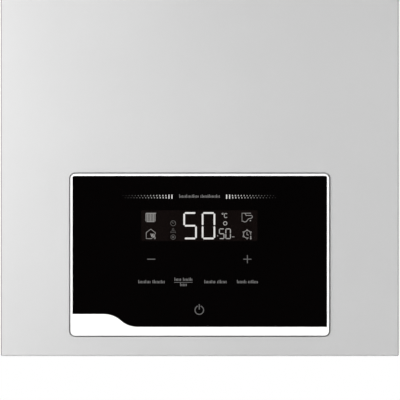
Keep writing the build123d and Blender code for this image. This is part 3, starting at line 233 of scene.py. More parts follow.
def makeScuffs():
    # sparse rubbed patches and hair scratches
    group, start, end = startGroup("scuffs", {"Vector": None, "Scale": 40.0, "Amount": 0.2}, ["Mask"])
    patch = setInputs(addNode(group, "TexNoise"), Detail=8.0, Roughness=0.7)
    lines = setInputs(addNode(group, "TexWave"), Distortion=18.0, Detail=4.0, Detail_Scale=2.5)
    patchMask = remap(group, wear["patches"])
    lineMask = remap(group, wear["scratches"])
    most = compute(group, "MAXIMUM")
    times = compute(group, "MULTIPLY")
    wire(group, [
        (start, "Vector", patch, "Vector"),
        (start, "Vector", lines, "Vector"),
        (start, "Scale", patch, "Scale"),
        (start, "Scale", lines, "Scale"),
        (patch, "Fac", patchMask, "Value"),
        (lines, "Fac", lineMask, "Value"),
        (patchMask, "Result", most, 0),
        (lineMask, "Result", most, 1),
        (most, 0, times, 0),
        (start, "Amount", times, 1),
        (times, 0, end, "Mask"),
    ])
    return group


def makeDust():
    # a thin film that settles on what faces upwards
    group, start, end = startGroup("dust", {"Vector": None, "Facing": None, "Amount": 0.3}, ["Mask"])
    parts = addNode(group, "SeparateXYZ")
    upward = remap(group, wear["upward"])
    noise = addNode(group, "TexNoise")
    setInputs(noise, Scale=wear["dustScale"], Detail=6.0, Roughness=0.75)
    both = compute(group, "MULTIPLY")
    times = compute(group, "MULTIPLY")
    wire(group, [
        (start, "Facing", parts, "Vector"),
        (parts, "Z", upward, "Value"),
        (start, "Vector", noise, "Vector"),
        (upward, "Result", both, 0),
        (noise, "Fac", both, 1),
        (both, 0, times, 0),
        (start, "Amount", times, 1),
        (times, 0, end, "Mask"),
    ])
    return group


groups = {
    "mottle": makeMottle(),
    "grain": makeGrain(),
    "scuffs": makeScuffs(),
    "dust": makeDust(),
}


def useGroup(tree, name, **values):
    node = addNode(tree, "Group", node_tree=groups[name])
    return setInputs(node, **values)


def tone(color, factor):
    return (color[0] * factor, color[1] * factor, color[2] * factor, 1.0)


def useMottle(tree, scale, color, dark, light):
    return useGroup(tree, "mottle", Scale=scale, Dark=tone(color, dark), Light=tone(color, light))


def startMaterial(name):
    # a shader, and object coordinates behind a mapping
    material = bpy.data.materials.new(name)
    material.use_nodes = True
    tree = material.node_tree
    tree.nodes.clear()
    output = addNode(tree, "OutputMaterial")
    shader = addNode(tree, "BsdfPrincipled")
    coords = addNode(tree, "TexCoord")
    place = addNode(tree, "Mapping")
    wire(tree, [(shader, "BSDF", output, "Surface"), (coords, "Object", place, "Vector")])
    return material, shader, coords, place


usualLook = {
    "stretch": (1.0, 1.0, 1.0),
    "drift": 0.06,
    "mottle": 14.0,
    "scuffs": 0.15,
    "scuffScale": 30.0,
    "dust": 0.25,
    "fine": 900.0,
    "coarse": 120.0,
    "balance": 0.5,
    "rough": 0.45,
    "roughSpread": 0.06,
    "bump": 0.15,
    "relief": 0.0002,
    "metal": 0.0,
    "ior": 1.5,
    "specular": 0.5,
    "coat": 0.0,
    "coatRough": 0.1,
}
smoothest = 0.02


def makeFinish(name, ownLook):
    # every finish: drifting tone, scuffs, dust, relief and a roughness that follows them
    look = {**usualLook, "scuffColor": ownLook["color"], **ownLook}
    material, shader, coords, place = startMaterial(name)
    tree = material.node_tree
    setInputs(place, Scale=look["stretch"])
    mottle = useMottle(tree, look["mottle"], look["color"], 1.0 - look["drift"], 1.0 + look["drift"])
    scuffs = useGroup(tree, "scuffs", Scale=look["scuffScale"], Amount=look["scuffs"])
    dust = useGroup(tree, "dust", Amount=look["dust"])
    grain = useGroup(tree, "grain", Fine=look["fine"], Coarse=look["coarse"], Balance=look["balance"])
    scuffed = mixColors(tree)
    scuffed.inputs[7].default_value = tone(look["scuffColor"], 1.0)
    dusty = mixColors(tree)
    dusty.inputs[7].default_value = wear["dustColor"]
    low = max(smoothest, look["rough"] - look["roughSpread"])
    high = min(1.0, look["rough"] + look["roughSpread"])
    roughness = remap(tree, (0.0, 1.0), (low, high))
    rubbed = compute(tree, "ADD", use_clamp=True)
    bump = setInputs(addNode(tree, "Bump"), Strength=look["bump"], Distance=look["relief"])
    for group in (mottle, scuffs, grain):
        tree.links.new(place.outputs["Vector"], group.inputs["Vector"])
    wire(tree, [
        (coords, "Object", dust, "Vector"),
        (coords, "Normal", dust, "Facing"),
        (mottle, "Color", scuffed, 6),
        (scuffs, "Mask", scuffed, 0),
        (scuffed, 2, dusty, 6),
        (dust, "Mask", dusty, 0),
        (dusty, 2, shader, "Base Color"),
        (mottle, "Mask", roughness, "Value"),
        (roughness, "Result", rubbed, 0),
        (dust, "Mask", rubbed, 1),
        (rubbed, 0, shader, "Roughness"),
        (grain, "Height", bump, "Height"),
        (bump, "Normal", shader, "Normal"),
    ])
    setInputs(shader, Metallic=look["metal"], IOR=look["ior"], Specular_IOR_Level=look["specular"])
    setInputs(shader, Coat_Weight=look["coat"], Coat_Roughness=look["coatRough"])
    return material


casingPaint = {
    "color": (0.48, 0.48, 0.481),
    "drift": 0.012,
    "mottle": 9.0,
    "rough": 0.6,
    "roughSpread": 0.03,
    "fine": 1500.0,
    "coarse": 420.0,
    "balance": 0.45,
    "bump": 0.06,
    "relief": 0.00006,
    "scuffs": 0.02,
    "scuffColor": (0.7, 0.7, 0.704),
    "dust": 0.05,
    "specular": 0.16,
}
finishes = {
    "casing_paint": casingPaint,
    "galvanised": {
        "color": (0.52, 0.54, 0.56), "metal": 0.9, "rough": 0.42, "roughSpread": 0.14, "mottle": 90.0,
        "drift": 0.16, "fine": 700.0, "coarse": 60.0, "bump": 0.1, "scuffs": 0.25,
        "scuffColor": (0.7, 0.71, 0.72), "scuffScale": 22.0,
    },
    "stainless": {
        "color": (0.60, 0.585, 0.56), "metal": 1.0, "rough": 0.3, "roughSpread": 0.08, "mottle": 30.0,
        "stretch": (1.0, 14.0, 1.0), "fine": 500.0, "coarse": 70.0, "bump": 0.12, "scuffs": 0.12,
        "scuffColor": (0.42, 0.36, 0.3),
    },
    "seal_rubber": {
        "color": (0.028, 0.028, 0.03), "rough": 0.78, "fine": 1800.0, "coarse": 300.0, "bump": 0.35,
        "drift": 0.2, "scuffs": 0.1, "scuffColor": (0.09, 0.09, 0.09),
    },
    "white_plastic": {
        "color": (0.93, 0.93, 0.93), "rough": 0.3, "roughSpread": 0.04, "mottle": 12.0, "drift": 0.012,
        "fine": 2200.0, "coarse": 600.0, "bump": 0.05, "relief": 0.00005, "scuffs": 0.02,
        "scuffColor": (0.8, 0.8, 0.79), "dust": 0.05, "coat": 0.25, "coatRough": 0.15,
    },
    "panel_glass": {
        "color": (0.0006, 0.0003, 0.0003), "rough": 0.06, "roughSpread": 0.015, "mottle": 8.0, "drift": 0.2,
        "fine": 90.0, "coarse": 12.0, "bump": 0.01, "relief": 0.00002, "scuffs": 0.004,
        "scuffColor": (0.01, 0.01, 0.01), "dust": 0.0, "specular": 0.25,
    },
    "display_dark": {
        "color": (0.0038, 0.0023, 0.0021), "rough": 0.12, "roughSpread": 0.02, "mottle": 60.0,
        "drift": 0.12, "fine": 2600.0, "coarse": 900.0, "bump": 0.02, "relief": 0.00003, "scuffs": 0.01,
        "scuffColor": (0.02, 0.018, 0.016), "dust": 0.0, "specular": 0.25,
    },
    "board_green": {
        "color": (0.02, 0.13, 0.05), "rough": 0.35, "mottle": 160.0, "drift": 0.3, "fine": 1200.0,
        "coarse": 320.0, "bump": 0.25, "scuffs": 0.35, "scuffColor": (0.34, 0.3, 0.14), "scuffScale": 150.0,
        "coat": 0.3,
    },
    "grey_plastic": {
        "color": (0.13, 0.135, 0.14), "rough": 0.55, "fine": 1700.0, "coarse": 500.0, "bump": 0.25,
        "drift": 0.08, "scuffs": 0.08, "scuffColor": (0.2, 0.2, 0.2),
    },
    "black_plastic": {
        "color": (0.022, 0.022, 0.024), "rough": 0.48, "fine": 1500.0, "coarse": 420.0, "bump": 0.3,
        "drift": 0.18, "scuffs": 0.12, "scuffColor": (0.06, 0.06, 0.06),
    },
    "cast_aluminium": {
        "color": (0.36, 0.37, 0.38), "metal": 0.75, "rough": 0.64, "roughSpread": 0.08, "coarse": 260.0,
        "bump": 0.5, "relief": 0.0004, "drift": 0.12, "scuffs": 0.2, "scuffColor": (0.5, 0.51, 0.52),
        "mottle": 40.0,
    },
    "gasket_foam": {
        "color": (0.3, 0.3, 0.305), "rough": 0.92, "fine": 1900.0, "coarse": 700.0, "bump": 0.7,
        "relief": 0.0003, "drift": 0.1, "mottle": 220.0, "dust": 0.0,
    },
    "sound_foam": {
        "color": (0.055, 0.056, 0.06), "rough": 0.97, "fine": 1300.0, "coarse": 520.0, "bump": 0.95,
        "relief": 0.0006, "drift": 0.22, "mottle": 260.0, "scuffs": 0.05, "scuffColor": (0.1, 0.1, 0.1),
    },
    "ceramic_fibre": {
        "color": (0.82, 0.79, 0.72), "rough": 0.95, "fine": 1400.0, "coarse": 200.0, "bump": 0.9,
        "relief": 0.0006, "drift": 0.08, "mottle": 70.0,
    },
    "electrode_ceramic": {
        "color": (0.85, 0.83, 0.78), "rough": 0.25, "coarse": 200.0, "bump": 0.05, "drift": 0.04,
        "scuffColor": (0.45, 0.38, 0.3), "coat": 0.4,
    },
    "copper": {
        "color": (0.66, 0.29, 0.15), "metal": 1.0, "rough": 0.32, "roughSpread": 0.12, "mottle": 45.0,
        "drift": 0.22, "coarse": 140.0, "bump": 0.05, "relief": 0.00008, "scuffs": 0.35,
        "scuffColor": (0.26, 0.13, 0.085), "scuffScale": 55.0,
    },
    "brass": {
        "color": (0.66, 0.48, 0.21), "metal": 1.0, "rough": 0.34, "roughSpread": 0.08, "mottle": 60.0,
        "drift": 0.12, "coarse": 240.0, "scuffs": 0.25, "scuffColor": (0.4, 0.27, 0.12),
    },
    "zinc_steel": {
        "color": (0.58, 0.57, 0.5), "metal": 1.0, "rough": 0.36, "mottle": 120.0, "drift": 0.16,
        "fine": 1200.0, "coarse": 300.0, "bump": 0.12, "scuffs": 0.2, "scuffColor": (0.66, 0.56, 0.32),
    },
    "vessel_red": {
        "color": (0.42, 0.022, 0.014), "rough": 0.35, "coarse": 260.0, "bump": 0.16, "drift": 0.1,
        "scuffs": 0.08, "scuffColor": (0.55, 0.12, 0.08), "coat": 0.3, "dust": 0.35,
    },
    "pump_cast": {
        "color": (0.035, 0.042, 0.05), "rough": 0.6, "coarse": 300.0, "bump": 0.55, "relief": 0.0004,
        "drift": 0.15, "scuffColor": (0.12, 0.13, 0.14),
    },
    "red_plastic": {
        "color": (0.52, 0.02, 0.018), "rough": 0.4, "fine": 1500.0, "coarse": 420.0, "bump": 0.18,
        "scuffs": 0.1, "scuffColor": (0.62, 0.15, 0.12),
    },
    "blue_plastic": {
        "color": (0.02, 0.09, 0.42), "rough": 0.4, "fine": 1500.0, "coarse": 420.0, "bump": 0.18,
        "scuffs": 0.1, "scuffColor": (0.14, 0.22, 0.55),
    },
    "clear_grey": {
        "color": (0.46, 0.47, 0.47), "rough": 0.28, "fine": 1300.0, "coarse": 300.0, "bump": 0.1,
        "scuffs": 0.12, "scuffColor": (0.56, 0.53, 0.46), "coat": 0.2,
    },
    "hose_black": {
        "color": (0.03, 0.03, 0.032), "rough": 0.62, "fine": 1600.0, "coarse": 300.0, "bump": 0.3,
        "drift": 0.2, "scuffs": 0.12, "scuffColor": (0.1, 0.1, 0.1),
    },
    "white_flue": {
        "color": (0.8, 0.8, 0.78), "rough": 0.42, "fine": 1600.0, "coarse": 420.0, "bump": 0.14,
        "drift": 0.03, "scuffs": 0.06, "scuffColor": (0.66, 0.64, 0.6), "dust": 0.35,
    },
}
materials = {name: makeFinish(name, look) for name, look in finishes.items()}
foldShadeLine = {
    # painted shade along the folds: distances from the middle, and how far forward it begins, mm; darkness,
    # and its share on the right
    "from": 208.4,
    "middle": 209.1,
    "to": 209.9,
    "behind": -318.6,
    "shade": 0.27,
    "right": 0.72,
}


def paintFoldShade(material):
    # painted shade: a fine dark line in the paint along the cover's two upright folds, darker on the left
    # fold, which the key light brightens most
    tree = material.node_tree
    shader = next(node for node in tree.nodes if node.type == "BSDF_PRINCIPLED")
    paint = shader.inputs["Base Color"].links[0].from_socket
    coords = addNode(tree, "TexCoord")
    parts = addNode(tree, "SeparateXYZ")
    away = compute(tree, "ABSOLUTE")
    rise = remap(tree, (foldShadeLine["from"] * mm, foldShadeLine["middle"] * mm))
    fall = remap(tree, (foldShadeLine["to"] * mm, foldShadeLine["middle"] * mm))
    ahead = compute(tree, "LESS_THAN")
    ahead.inputs[1].default_value = foldShadeLine["behind"] * mm
    least = compute(tree, "MINIMUM")
    both = compute(tree, "MULTIPLY")
    # the painted shade on the right fold is weaker, since the key light comes from the left
    milder = remap(tree, (-mm, mm), (1.0, foldShadeLine["right"]))
    amount = compute(tree, "MULTIPLY")
    mix = mixColors(tree, "MULTIPLY")
    mix.inputs[7].default_value = tone((1.0, 1.0, 1.0), foldShadeLine["shade"])
    wire(tree, [
        (coords, "Object", parts, "Vector"),
        (parts, "X", away, 0),
        (away, 0, rise, "Value"),
        (away, 0, fall, "Value"),
        (parts, "Y", ahead, 0),
        (rise, "Result", least, 0),
        (fall, "Result", least, 1),
        (least, 0, both, 0),
        (ahead, 0, both, 1),
        (parts, "X", milder, "Value"),
        (both, 0, amount, 0),
        (milder, "Result", amount, 1),
        (amount, 0, mix, 0),
        (mix, 2, shader, "Base Color"),
    ])
    tree.links.new(paint, mix.inputs[6])


paintFoldShade(materials["casing_paint"])
print("finishes made:", len(materials))

for entry in frame["record"]["subparts"]:
    for slot in nodes[entry["node"]].material_slots:
        slot.material = materials[entry["material_slot"]]


# ---- camera, light and floor ----
cameraSet = {
    "target": (0.00025, -0.3215, -0.4954),
    "distance": 3.0,
    "viewWidth": 0.4214,
    "sensor": 36.0,
}
lightSet = {
    # place in metres, size, power
    "key": ((-0.8, -0.9, -0.27), 0.5, 12.3),
    "fill": ((0.95, -0.75, -0.3), 0.8, 6.9),
    "above": ((0.0, 0.0, 1.6), 1.1, 26.0),
    "behind": ((0.9, 1.5, 0.6), 1.3, 15.0),
    "aim": (0.0, -0.2, -0.4),
}
surround = {
    # strength to the sides and straight in front, share of it behind, and where along Y it changes
    "sides": 0.35,
    "frontal": 0.05,
    "rearPart": 0.45,
    "frontSpan": (-0.97, -0.75),
    "rearSpan": (0.05, 0.55),
}
floorSet = {"size": 2.6, "place": (0, -0.16, -0.9)}
floorLook = {
    "color": (0.82, 0.82, 0.815), "rough": 0.7, "drift": 0.01, "mottle": 3.0, "bump": 0.05, "dust": 0.0,
}


def addCamera():
    x, y, z = cameraSet["target"]
    bpy.ops.object.camera_add(location=(x, y - cameraSet["distance"], z), rotation=(math.pi / 2, 0, 0))
    camera = newest()
    camera.data.sensor_width = cameraSet["sensor"]
    camera.data.lens = cameraSet["sensor"] * cameraSet["distance"] / cameraSet["viewWidth"]
    camera.data.dof.use_dof = False
    bpy.context.scene.camera = camera


def addAreaLight(place, size, power):
    bpy.ops.object.light_add(type="AREA", location=place)
    light = newest()
    light.data.size = size
    light.data.energy = power
    aim = Vector(lightSet["aim"]) - Vector(place)
    light.rotation_euler = aim.to_track_quat("-Z", "Y").to_euler()


def setWorld():
    # white behind the object; for light and reflections a soft surround that is dark straight in front
    world = bpy.data.worlds.new("studio")
    world.use_nodes = True
    bpy.context.scene.world = world
    tree = world.node_tree
    tree.nodes.clear()
    output = addNode(tree, "OutputWorld")
    mix = addNode(tree, "MixShader")
    path = addNode(tree, "LightPath")
    seen = setInputs(addNode(tree, "Background"), Color=(1, 1, 1, 1), Strength=1.0)
    felt = addNode(tree, "Background")
    coords = addNode(tree, "TexCoord")
    parts = addNode(tree, "SeparateXYZ")
    ahead = remap(tree, surround["frontSpan"], (surround["frontal"], surround["sides"]))
    astern = remap(tree, surround["rearSpan"], (1.0, surround["rearPart"]))
    both = compute(tree, "MULTIPLY")
    wire(tree, [
        (coords, "Generated", parts, "Vector"),
        (parts, "Y", ahead, "Value"),
        (parts, "Y", astern, "Value"),
        (ahead, "Result", both, 0),
        (astern, "Result", both, 1),
        (both, 0, felt, "Strength"),
        (path, "Is Camera Ray", mix, 0),
        (felt, "Background", mix, 1),
        (seen, "Background", mix, 2),
        (mix, "Shader", output, "Surface"),
    ])


def clearBelow(material):
    # the floor has no underside, so that the boiler can be looked at from below
    tree = material.node_tree
    output = next(node for node in tree.nodes if node.type == "OUTPUT_MATERIAL")
    shader = next(node for node in tree.nodes if node.type == "BSDF_PRINCIPLED")
    side = addNode(tree, "NewGeometry")
    clear = addNode(tree, "BsdfTransparent")
    mix = addNode(tree, "MixShader")
    wire(tree, [
        (side, "Backfacing", mix, 0),
        (shader, "BSDF", mix, 1),
        (clear, "BSDF", mix, 2),
        (mix, "Shader", output, "Surface"),
    ])


def addFloor():
    bpy.ops.mesh.primitive_plane_add(size=floorSet["size"], location=floorSet["place"])
    floor = newest()
    applyPlace(floor)
    floor.name = "studio_floor"
    paper = makeFinish("floor_paper", floorLook)
    clearBelow(paper)
    floor.data.materials.append(paper)


letGo()
bpy.context.scene.view_settings.view_transform = "Standard"
addCamera()
for name in ("key", "fill", "above", "behind"):
    addAreaLight(*lightSet[name])
setWorld()
addFloor()
print("studio ready")


# ---- lit display and printed legends, on the face of the glass ----
legend = {
    "centre": (-0.5, -522.5),        # middle of the display window, X and Z, mm
    "window": (122.4, 32.4),
    "windowCorner": 0.8,
    "windowEdge": 0.4,
    "windowDepth": 0.25,             # share of how far the legends stand in front
    "proud": 0.02,
    "thickness": 0.03,
    "big": ((-9.7, 9.7), 0, (14.2, 28.6), 1.8),       # both places, height, size, stroke
    "small": ((23.6, 30.4), -8.45, (5.8, 11.2), 0.95),
    "segmentGap": 0.32,              # share of the stroke
    "smallMarks": ((19.3, -10.6, 1.6, 0.9, True), (35.6, -11.7, 3.0, 0.7)),
}
glowLook = {
    "mottle": 350.0,
    "dark": 0.9,
    "light": 1.05,
    "fine": 2400.0,
    "coarse": 900.0,
    "bump": 0.05,
    "relief": 0.00003,
    "rough": (0.3, 0.45),
    "specular": 0.1,
    "base": (0.01, 0.01, 0.01, 1.0),
}
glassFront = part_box("panel_glass")[0].y


def glow(name, color, strength):
    # a lit or printed legend: a faint unevenness, as light through a mask has
    material, shader, _, place = startMaterial(name)
    tree = material.node_tree
    mottle = useMottle(tree, glowLook["mottle"], color, glowLook["dark"], glowLook["light"])
    grain = useGroup(tree, "grain", Fine=glowLook["fine"], Coarse=glowLook["coarse"])
    bump = setInputs(addNode(tree, "Bump"), Strength=glowLook["bump"], Distance=glowLook["relief"])
    rough = remap(tree, (0.0, 1.0), glowLook["rough"])
    setInputs(shader, Emission_Strength=strength, Specular_IOR_Level=glowLook["specular"])
    shader.inputs["Base Color"].default_value = glowLook["base"]
    wire(tree, [
        (place, "Vector", mottle, "Vector"),
        (place, "Vector", grain, "Vector"),
        (mottle, "Color", shader, "Emission Color"),
        (mottle, "Mask", rough, "Value"),
        (rough, "Result", shader, "Roughness"),
        (grain, "Height", bump, "Height"),
        (bump, "Normal", shader, "Normal"),
    ])
    return material, shader, place, mottle


brightLegend = glow("bright_legend", (1.0, 0.975, 0.955), 0.8)[0]
middleLegend = glow("middle_legend", (1.0, 0.97, 0.94), 0.38)[0]
symbolLegend = glow("symbol_legend", (1.0, 0.96, 0.93), 0.27)[0]
faintLegend = glow("faint_legend", (1.0, 0.96, 0.93), 0.15)[0]
printLegend = glow("print_legend", (1.0, 0.98, 0.97), 0.2)[0]
keyLegend = glow("key_legend", (1.0, 0.98, 0.97), 0.12)[0]
barEnd = {"reach": 0.49, "blunt": 0.25}      # where a bar's end begins, and its tip's share of the width


def onGlass(x, z, depth=1.0):
    # millimetres from the display's middle to a point just in front of the glass
    centre = legend["centre"]
    return Vector(((centre[0] + x) * mm, glassFront - depth * legend["proud"] * mm, (centre[1] + z) * mm))


def bar(x, z, length, width, upright=False, tip=0.5):
    # a flat bar with blunt pointed ends, as a display segment has
    bpy.ops.mesh.primitive_plane_add(size=1, location=onGlass(x, z), rotation=(math.pi / 2, 0, 0))
    piece = newest()
    core = length - tip * width
    piece.scale = (core * mm, width * mm, 1)
    bpy.ops.object.transform_apply(location=False, rotation=True, scale=True)
    for side in (-1, 1):
        bpy.ops.object.mode_set(mode="EDIT")
        bpy.ops.mesh.select_all(action="DESELECT")
        endEdit()
        for vertex in piece.data.vertices:
            vertex.select = side * vertex.co.x > core * mm * barEnd["reach"]
        bpy.ops.object.mode_set(mode="EDIT")
        bpy.ops.mesh.select_mode(type="VERT")
        extrude(side * tip * width / 2 * mm, 0, 0)
        bpy.ops.transform.resize(value=(1, 1, barEnd["blunt"]))
        endEdit()
    if upright:
        piece.rotation_euler = (0, math.pi / 2, 0)
    applyPlace(piece)
    return piece


def line(points, width, closed=False):
    # a stroke: one point drawn out from place to place, made a curve and given its width
    bpy.ops.mesh.primitive_plane_add(size=0.0001, location=onGlass(*points[0]))
    bpy.ops.object.mode_set(mode="EDIT")
    bpy.ops.mesh.merge(type="CENTER")
    for here, there in zip(points, points[1:]):
        extrude((there[0] - here[0]) * mm, 0, (there[1] - here[1]) * mm)
    if closed:
        bpy.ops.mesh.select_all(action="SELECT")
        bpy.ops.mesh.remove_doubles(threshold=0.00001)
    endEdit()
    bpy.ops.object.convert(target="CURVE")
    piece = newest()
    piece.data.bevel_depth = width / 2 * mm
    piece.data.bevel_resolution = 1
    piece.data.use_fill_caps = True
    bpy.ops.object.convert(target="MESH")
    piece = newest()
    flat = legend["thickness"] / width
    applyPlace(piece)
    startEdit()
    bpy.ops.transform.translate(value=(0, -onGlass(0, 0).y, 0))
    bpy.ops.transform.resize(value=(1, flat, 1), center_override=(0, 0, 0))
    bpy.ops.transform.translate(value=(0, onGlass(0, 0).y, 0))
    endEdit()
    return piece


def arcPoints(x, z, radius, start, end, count):
    angles = [math.radians(start + (end - start) * index / count) for index in range(count + 1)]
    return [(x + radius * math.cos(a), z + radius * math.sin(a)) for a in angles]


def thicken(piece):
    solid = piece.modifiers.new("printed", "SOLIDIFY")
    solid.thickness = legend["thickness"] * mm
    solid.offset = 0
    applyModifiers(piece)


def ring(x, z, radius, count, width):
    return arcPoints(x, z, radius, 0, 360, count), width, True


def addLegend(pieces, name, material, flat=False):
    # one piece in front of the glass; flat bars get their thickness here
    piece = joinAll(pieces)
    if flat:
        thicken(piece)
    finishPiece(piece, name, material, "chassis")


def addSymbol(name, material, *lines):
    # each line: its points, its width and whether it is closed
    addLegend([line(*values) for values in lines], name, material)


def digit(segments, x, z, size, stroke):
    wide = size[0] - stroke
    tall = (size[1] - stroke) / 2
    gap = stroke * legend["segmentGap"]
    places = {
        "top": (0, tall, False), "middle": (0, 0, False), "bottom": (0, -tall, False),
        "upperLeft": (-wide / 2, tall / 2, True), "upperRight": (wide / 2, tall / 2, True),
        "lowerLeft": (-wide / 2, -tall / 2, True), "lowerRight": (wide / 2, -tall / 2, True),
    }
    made = []
    for name in segments:
        dx, dz, upright = places[name]
        length = (tall if upright else wide) - 2 * gap
        made.append(bar(x + dx, z + dz, length, stroke, upright))
    return made


def addDisplay():
    width, height = legend["window"]
    place = onGlass(0, 0, legend["windowDepth"])
    bpy.ops.mesh.primitive_plane_add(size=1, location=place, rotation=(math.pi / 2, 0, 0))
    window = newest()
    window.scale = (width * mm, height * mm, 1)
    applyPlace(window)
    startEdit()
    bpy.ops.mesh.bevel(offset=legend["windowCorner"] * mm, segments=4, affect="VERTICES")
    bpy.ops.mesh.inset(thickness=legend["windowEdge"] * mm)
    endEdit()
    finishPiece(window, "display_window", materials["display_dark"], "chassis")


def addDigits():
    five = ("top", "upperLeft", "middle", "lowerRight", "bottom")
    nought = ("top", "upperLeft", "upperRight", "lowerLeft", "lowerRight", "bottom")
    for name, material in (("big", brightLegend), ("small", middleLegend)):
        (left, right), z, size, stroke = legend[name]
        pair = digit(five, left, z, size, stroke) + digit(nought, right, z, size, stroke)
        addLegend(pair, name + "_digits", material, True)
    marks = [bar(*mark) for mark in legend["smallMarks"]]
    addLegend(marks, "small_digit_marks", symbolLegend, True)


symbols = {
    # middle of each symbol, X and Z, mm from the display's middle
    "radiator": (-51.4, 8.7),
    "house": (-51.1, -8.6),
    "clock": (-27.55, 2.6),
    "warning": (-27.55, -7.2),
    "badge": (-27.55, -12.0),
    "tap": (50.0, 8.8),
    "timer": (50.4, -9.0),
}
strokes = {"fine": 0.42, "thin": 0.6, "usual": 0.8, "firm": 0.9, "broad": 1.1, "leaf": 1.8}


def addUnit():
    # degree ring and C, with a plain ring below them
    letter = [(29.3, 12.2), (28.5, 12.9), (27.2, 12.9), (26.4, 12.0), (26.4, 9.4), (27.2, 8.5), (28.5, 8.5)]
    letter.append((29.3, 9.2))
    rings = [ring(24.6, 12.6, 0.7, 12, 0.65), ring(27.3, 2.5, 1.8, 18, 0.95)]
    addSymbol("unit_and_ring", middleLegend, rings[0], (letter, strokes["usual"]), rings[1])


def addRadiator():
    x, z = symbols["radiator"]
    radiator = {"wide": 9.4, "tall": 8.8, "gaps": 6, "pipe": 1.2, "foot": 0.5, "lift": 0.4, "column": 0.95}
    side = radiator["wide"] / 2
    top = z + radiator["tall"] / 2
    low = z - radiator["tall"] / 2
    foot = radiator["foot"]
    lines = [([(x - side, top), (x + side + radiator["pipe"], top)], strokes["broad"])]
    lines.append(([(x - side + foot, low), (x + side - foot, low)], strokes["firm"]))
    for index in range(radiator["gaps"] + 1):
        column = x - side + radiator["wide"] * index / radiator["gaps"]
        lines.append(([(column, low + radiator["lift"]), (column, top)], radiator["column"]))
    addSymbol("symbol_radiator", symbolLegend, *lines)


def addHouse():
    x, z = symbols["house"]
    walls = [(x + 1.6, z - 5.0), (x - 4.8, z - 5.0), (x - 4.8, z + 1.4), (x, z + 5.0), (x + 4.7, z + 1.4)]
    walls += [(x + 4.7, z - 0.4)]
    corner = [(x + 4.7, z - 3.4), (x + 4.7, z - 5.0), (x + 3.4, z - 5.0)]
    leaf = [(x - 0.4, z + 0.2)] + arcPoints(x + 2.4, z - 1.9, 1.7, 120, -150, 10) + [(x - 0.4, z + 0.2)]
    vein = [(x + 0.8, z - 0.8), (x + 4.0, z - 3.6)]
    lines = [(walls, strokes["usual"]), (corner, strokes["usual"])]
    lines += [(leaf, strokes["firm"], True), (vein, strokes["leaf"])]
    addSymbol("symbol_house", symbolLegend, *lines)


def addStatusSymbols():
    x, z = symbols["clock"]
    lines = [ring(x, z, 2.7, 20, strokes["fine"]), ([(x - 1.1, 3.9), (x, 2.5), (x + 1.2, 3.3)], 0.4)]
    x, z = symbols["warning"]
    lines.append(([(x - 2.7, z), (x, -2.5), (x + 2.7, z), (x - 2.7, z)], 0.48, True))
    lines.append(([(x, -4.2), (x, -6.0)], 0.45))
    x, z = symbols["badge"]
    lines.append(ring(x, z, 2.4, 18, strokes["fine"]))
    lines += [(arcPoints(x, z, 1.1, angle, angle + 180, 1), 0.5) for angle in (20, 80, 140)]
    addSymbol("symbols_status", faintLegend, *lines)


def addTap():
    x, z = symbols["tap"]
    spout = [(x + 4.4, z + 4.4), (x - 5.0, z + 4.4), (x - 5.0, z - 4.2)]
    spout += arcPoints(x - 2.0, z - 2.2, 2.6, 220, 320, 6) + [(x + 1.8, z - 1.4), (x + 4.6, z - 1.0)]
    spout += arcPoints(x + 4.4, z + 0.6, 1.5, -60, 80, 6) + [(x - 0.6, z + 2.0), (x - 1.8, z + 4.2)]
    addSymbol("symbol_tap", symbolLegend, (spout, strokes["usual"]), ring(x + 3.9, z - 3.4, 0.4, 10, 0.7))


def addTimerSymbol():
    x, z = symbols["timer"]
    lines = [(arcPoints(x, z, 3.9, -8, 290, 18), strokes["usual"])]
    lines.append(([(x - 0.2, z + 2.0), (x - 0.2, z - 0.2), (x + 1.4, z - 1.0)], 0.75))
    for angle in (30, 90, 150, 210, 270):
        foot = arcPoints(x, z, 4.2, angle - 12, angle + 12, 1)
        tip = arcPoints(x, z, 5.3, angle, angle, 1)[0]
        lines.append(([foot[0], tip, foot[1]], strokes["thin"]))
    lines.append(([(x + 3.8, z - 1.6), (x + 3.8, z - 3.8)], strokes["broad"]))
    lines.append(ring(x + 3.8, z - 4.6, 0.5, 12, strokes["firm"]))
    addSymbol("symbol_timer", symbolLegend, *lines)


keys = {
    # the minus and plus keys' distance from the middle, height and bars; the power key's ring and stem
    "reach": 50.65,
    "z": -35.25,
    "length": 8.6,
    "minus": 0.95,
    "plus": 0.9,
    "powerZ": -88.9,
    "powerRadius": 4.5,
    "powerArc": (108, 432, 32),
    "powerWidth": 1.15,
    "stem": (-82.7, -88.2),
}


def addKeys():
    reach, z, length, plus = keys["reach"], keys["z"], keys["length"], keys["plus"]
    bars = [bar(-reach, z, length, keys["minus"])]
    bars += [bar(reach, z, length, plus), bar(reach, z, length, plus, True)]
    addLegend(bars, "keys_minus_plus", keyLegend, True)
    rim = arcPoints(0, keys["powerZ"], keys["powerRadius"], *keys["powerArc"])
    top, foot = keys["stem"]
    stem = ([(0, top), (0, foot)], strokes["broad"])
    addSymbol("key_power", keyLegend, (rim, keys["powerWidth"]), stem)


wordRows = {
    # middle x, foot z, height mm, strokes in each word
    "row_top": (0.2, 29.4, 2.7, (14, 14)),
    "row_heating": (-50.4, -60.7, 2.7, (9, 9)),
    "row_saving": (-16.8, -58.2, 2.7, (5, 7)),
    "row_saving_low": (-16.8, -63.7, 2.7, (5,)),
    "row_timing": (17.0, -60.7, 2.7, (8, 7)),
    "row_third": (50.6, -60.7, 2.7, (7, 7)),
}
tick = {
    "pitch": 1.5,
    "width": 0.6,
    "tip": 0.3,
    "heights": (1.35, 0.9, 1.0, 0.9, 1.0, 1.3, 0.9, 1.0, 0.9, 1.2),
    "dashEvery": 3,
    "dashHeight": 0.45,              # share of the row's height
    "dashWidth": 0.45,
    "lineDrop": 1.5,
    "lineWidth": 0.35,
}


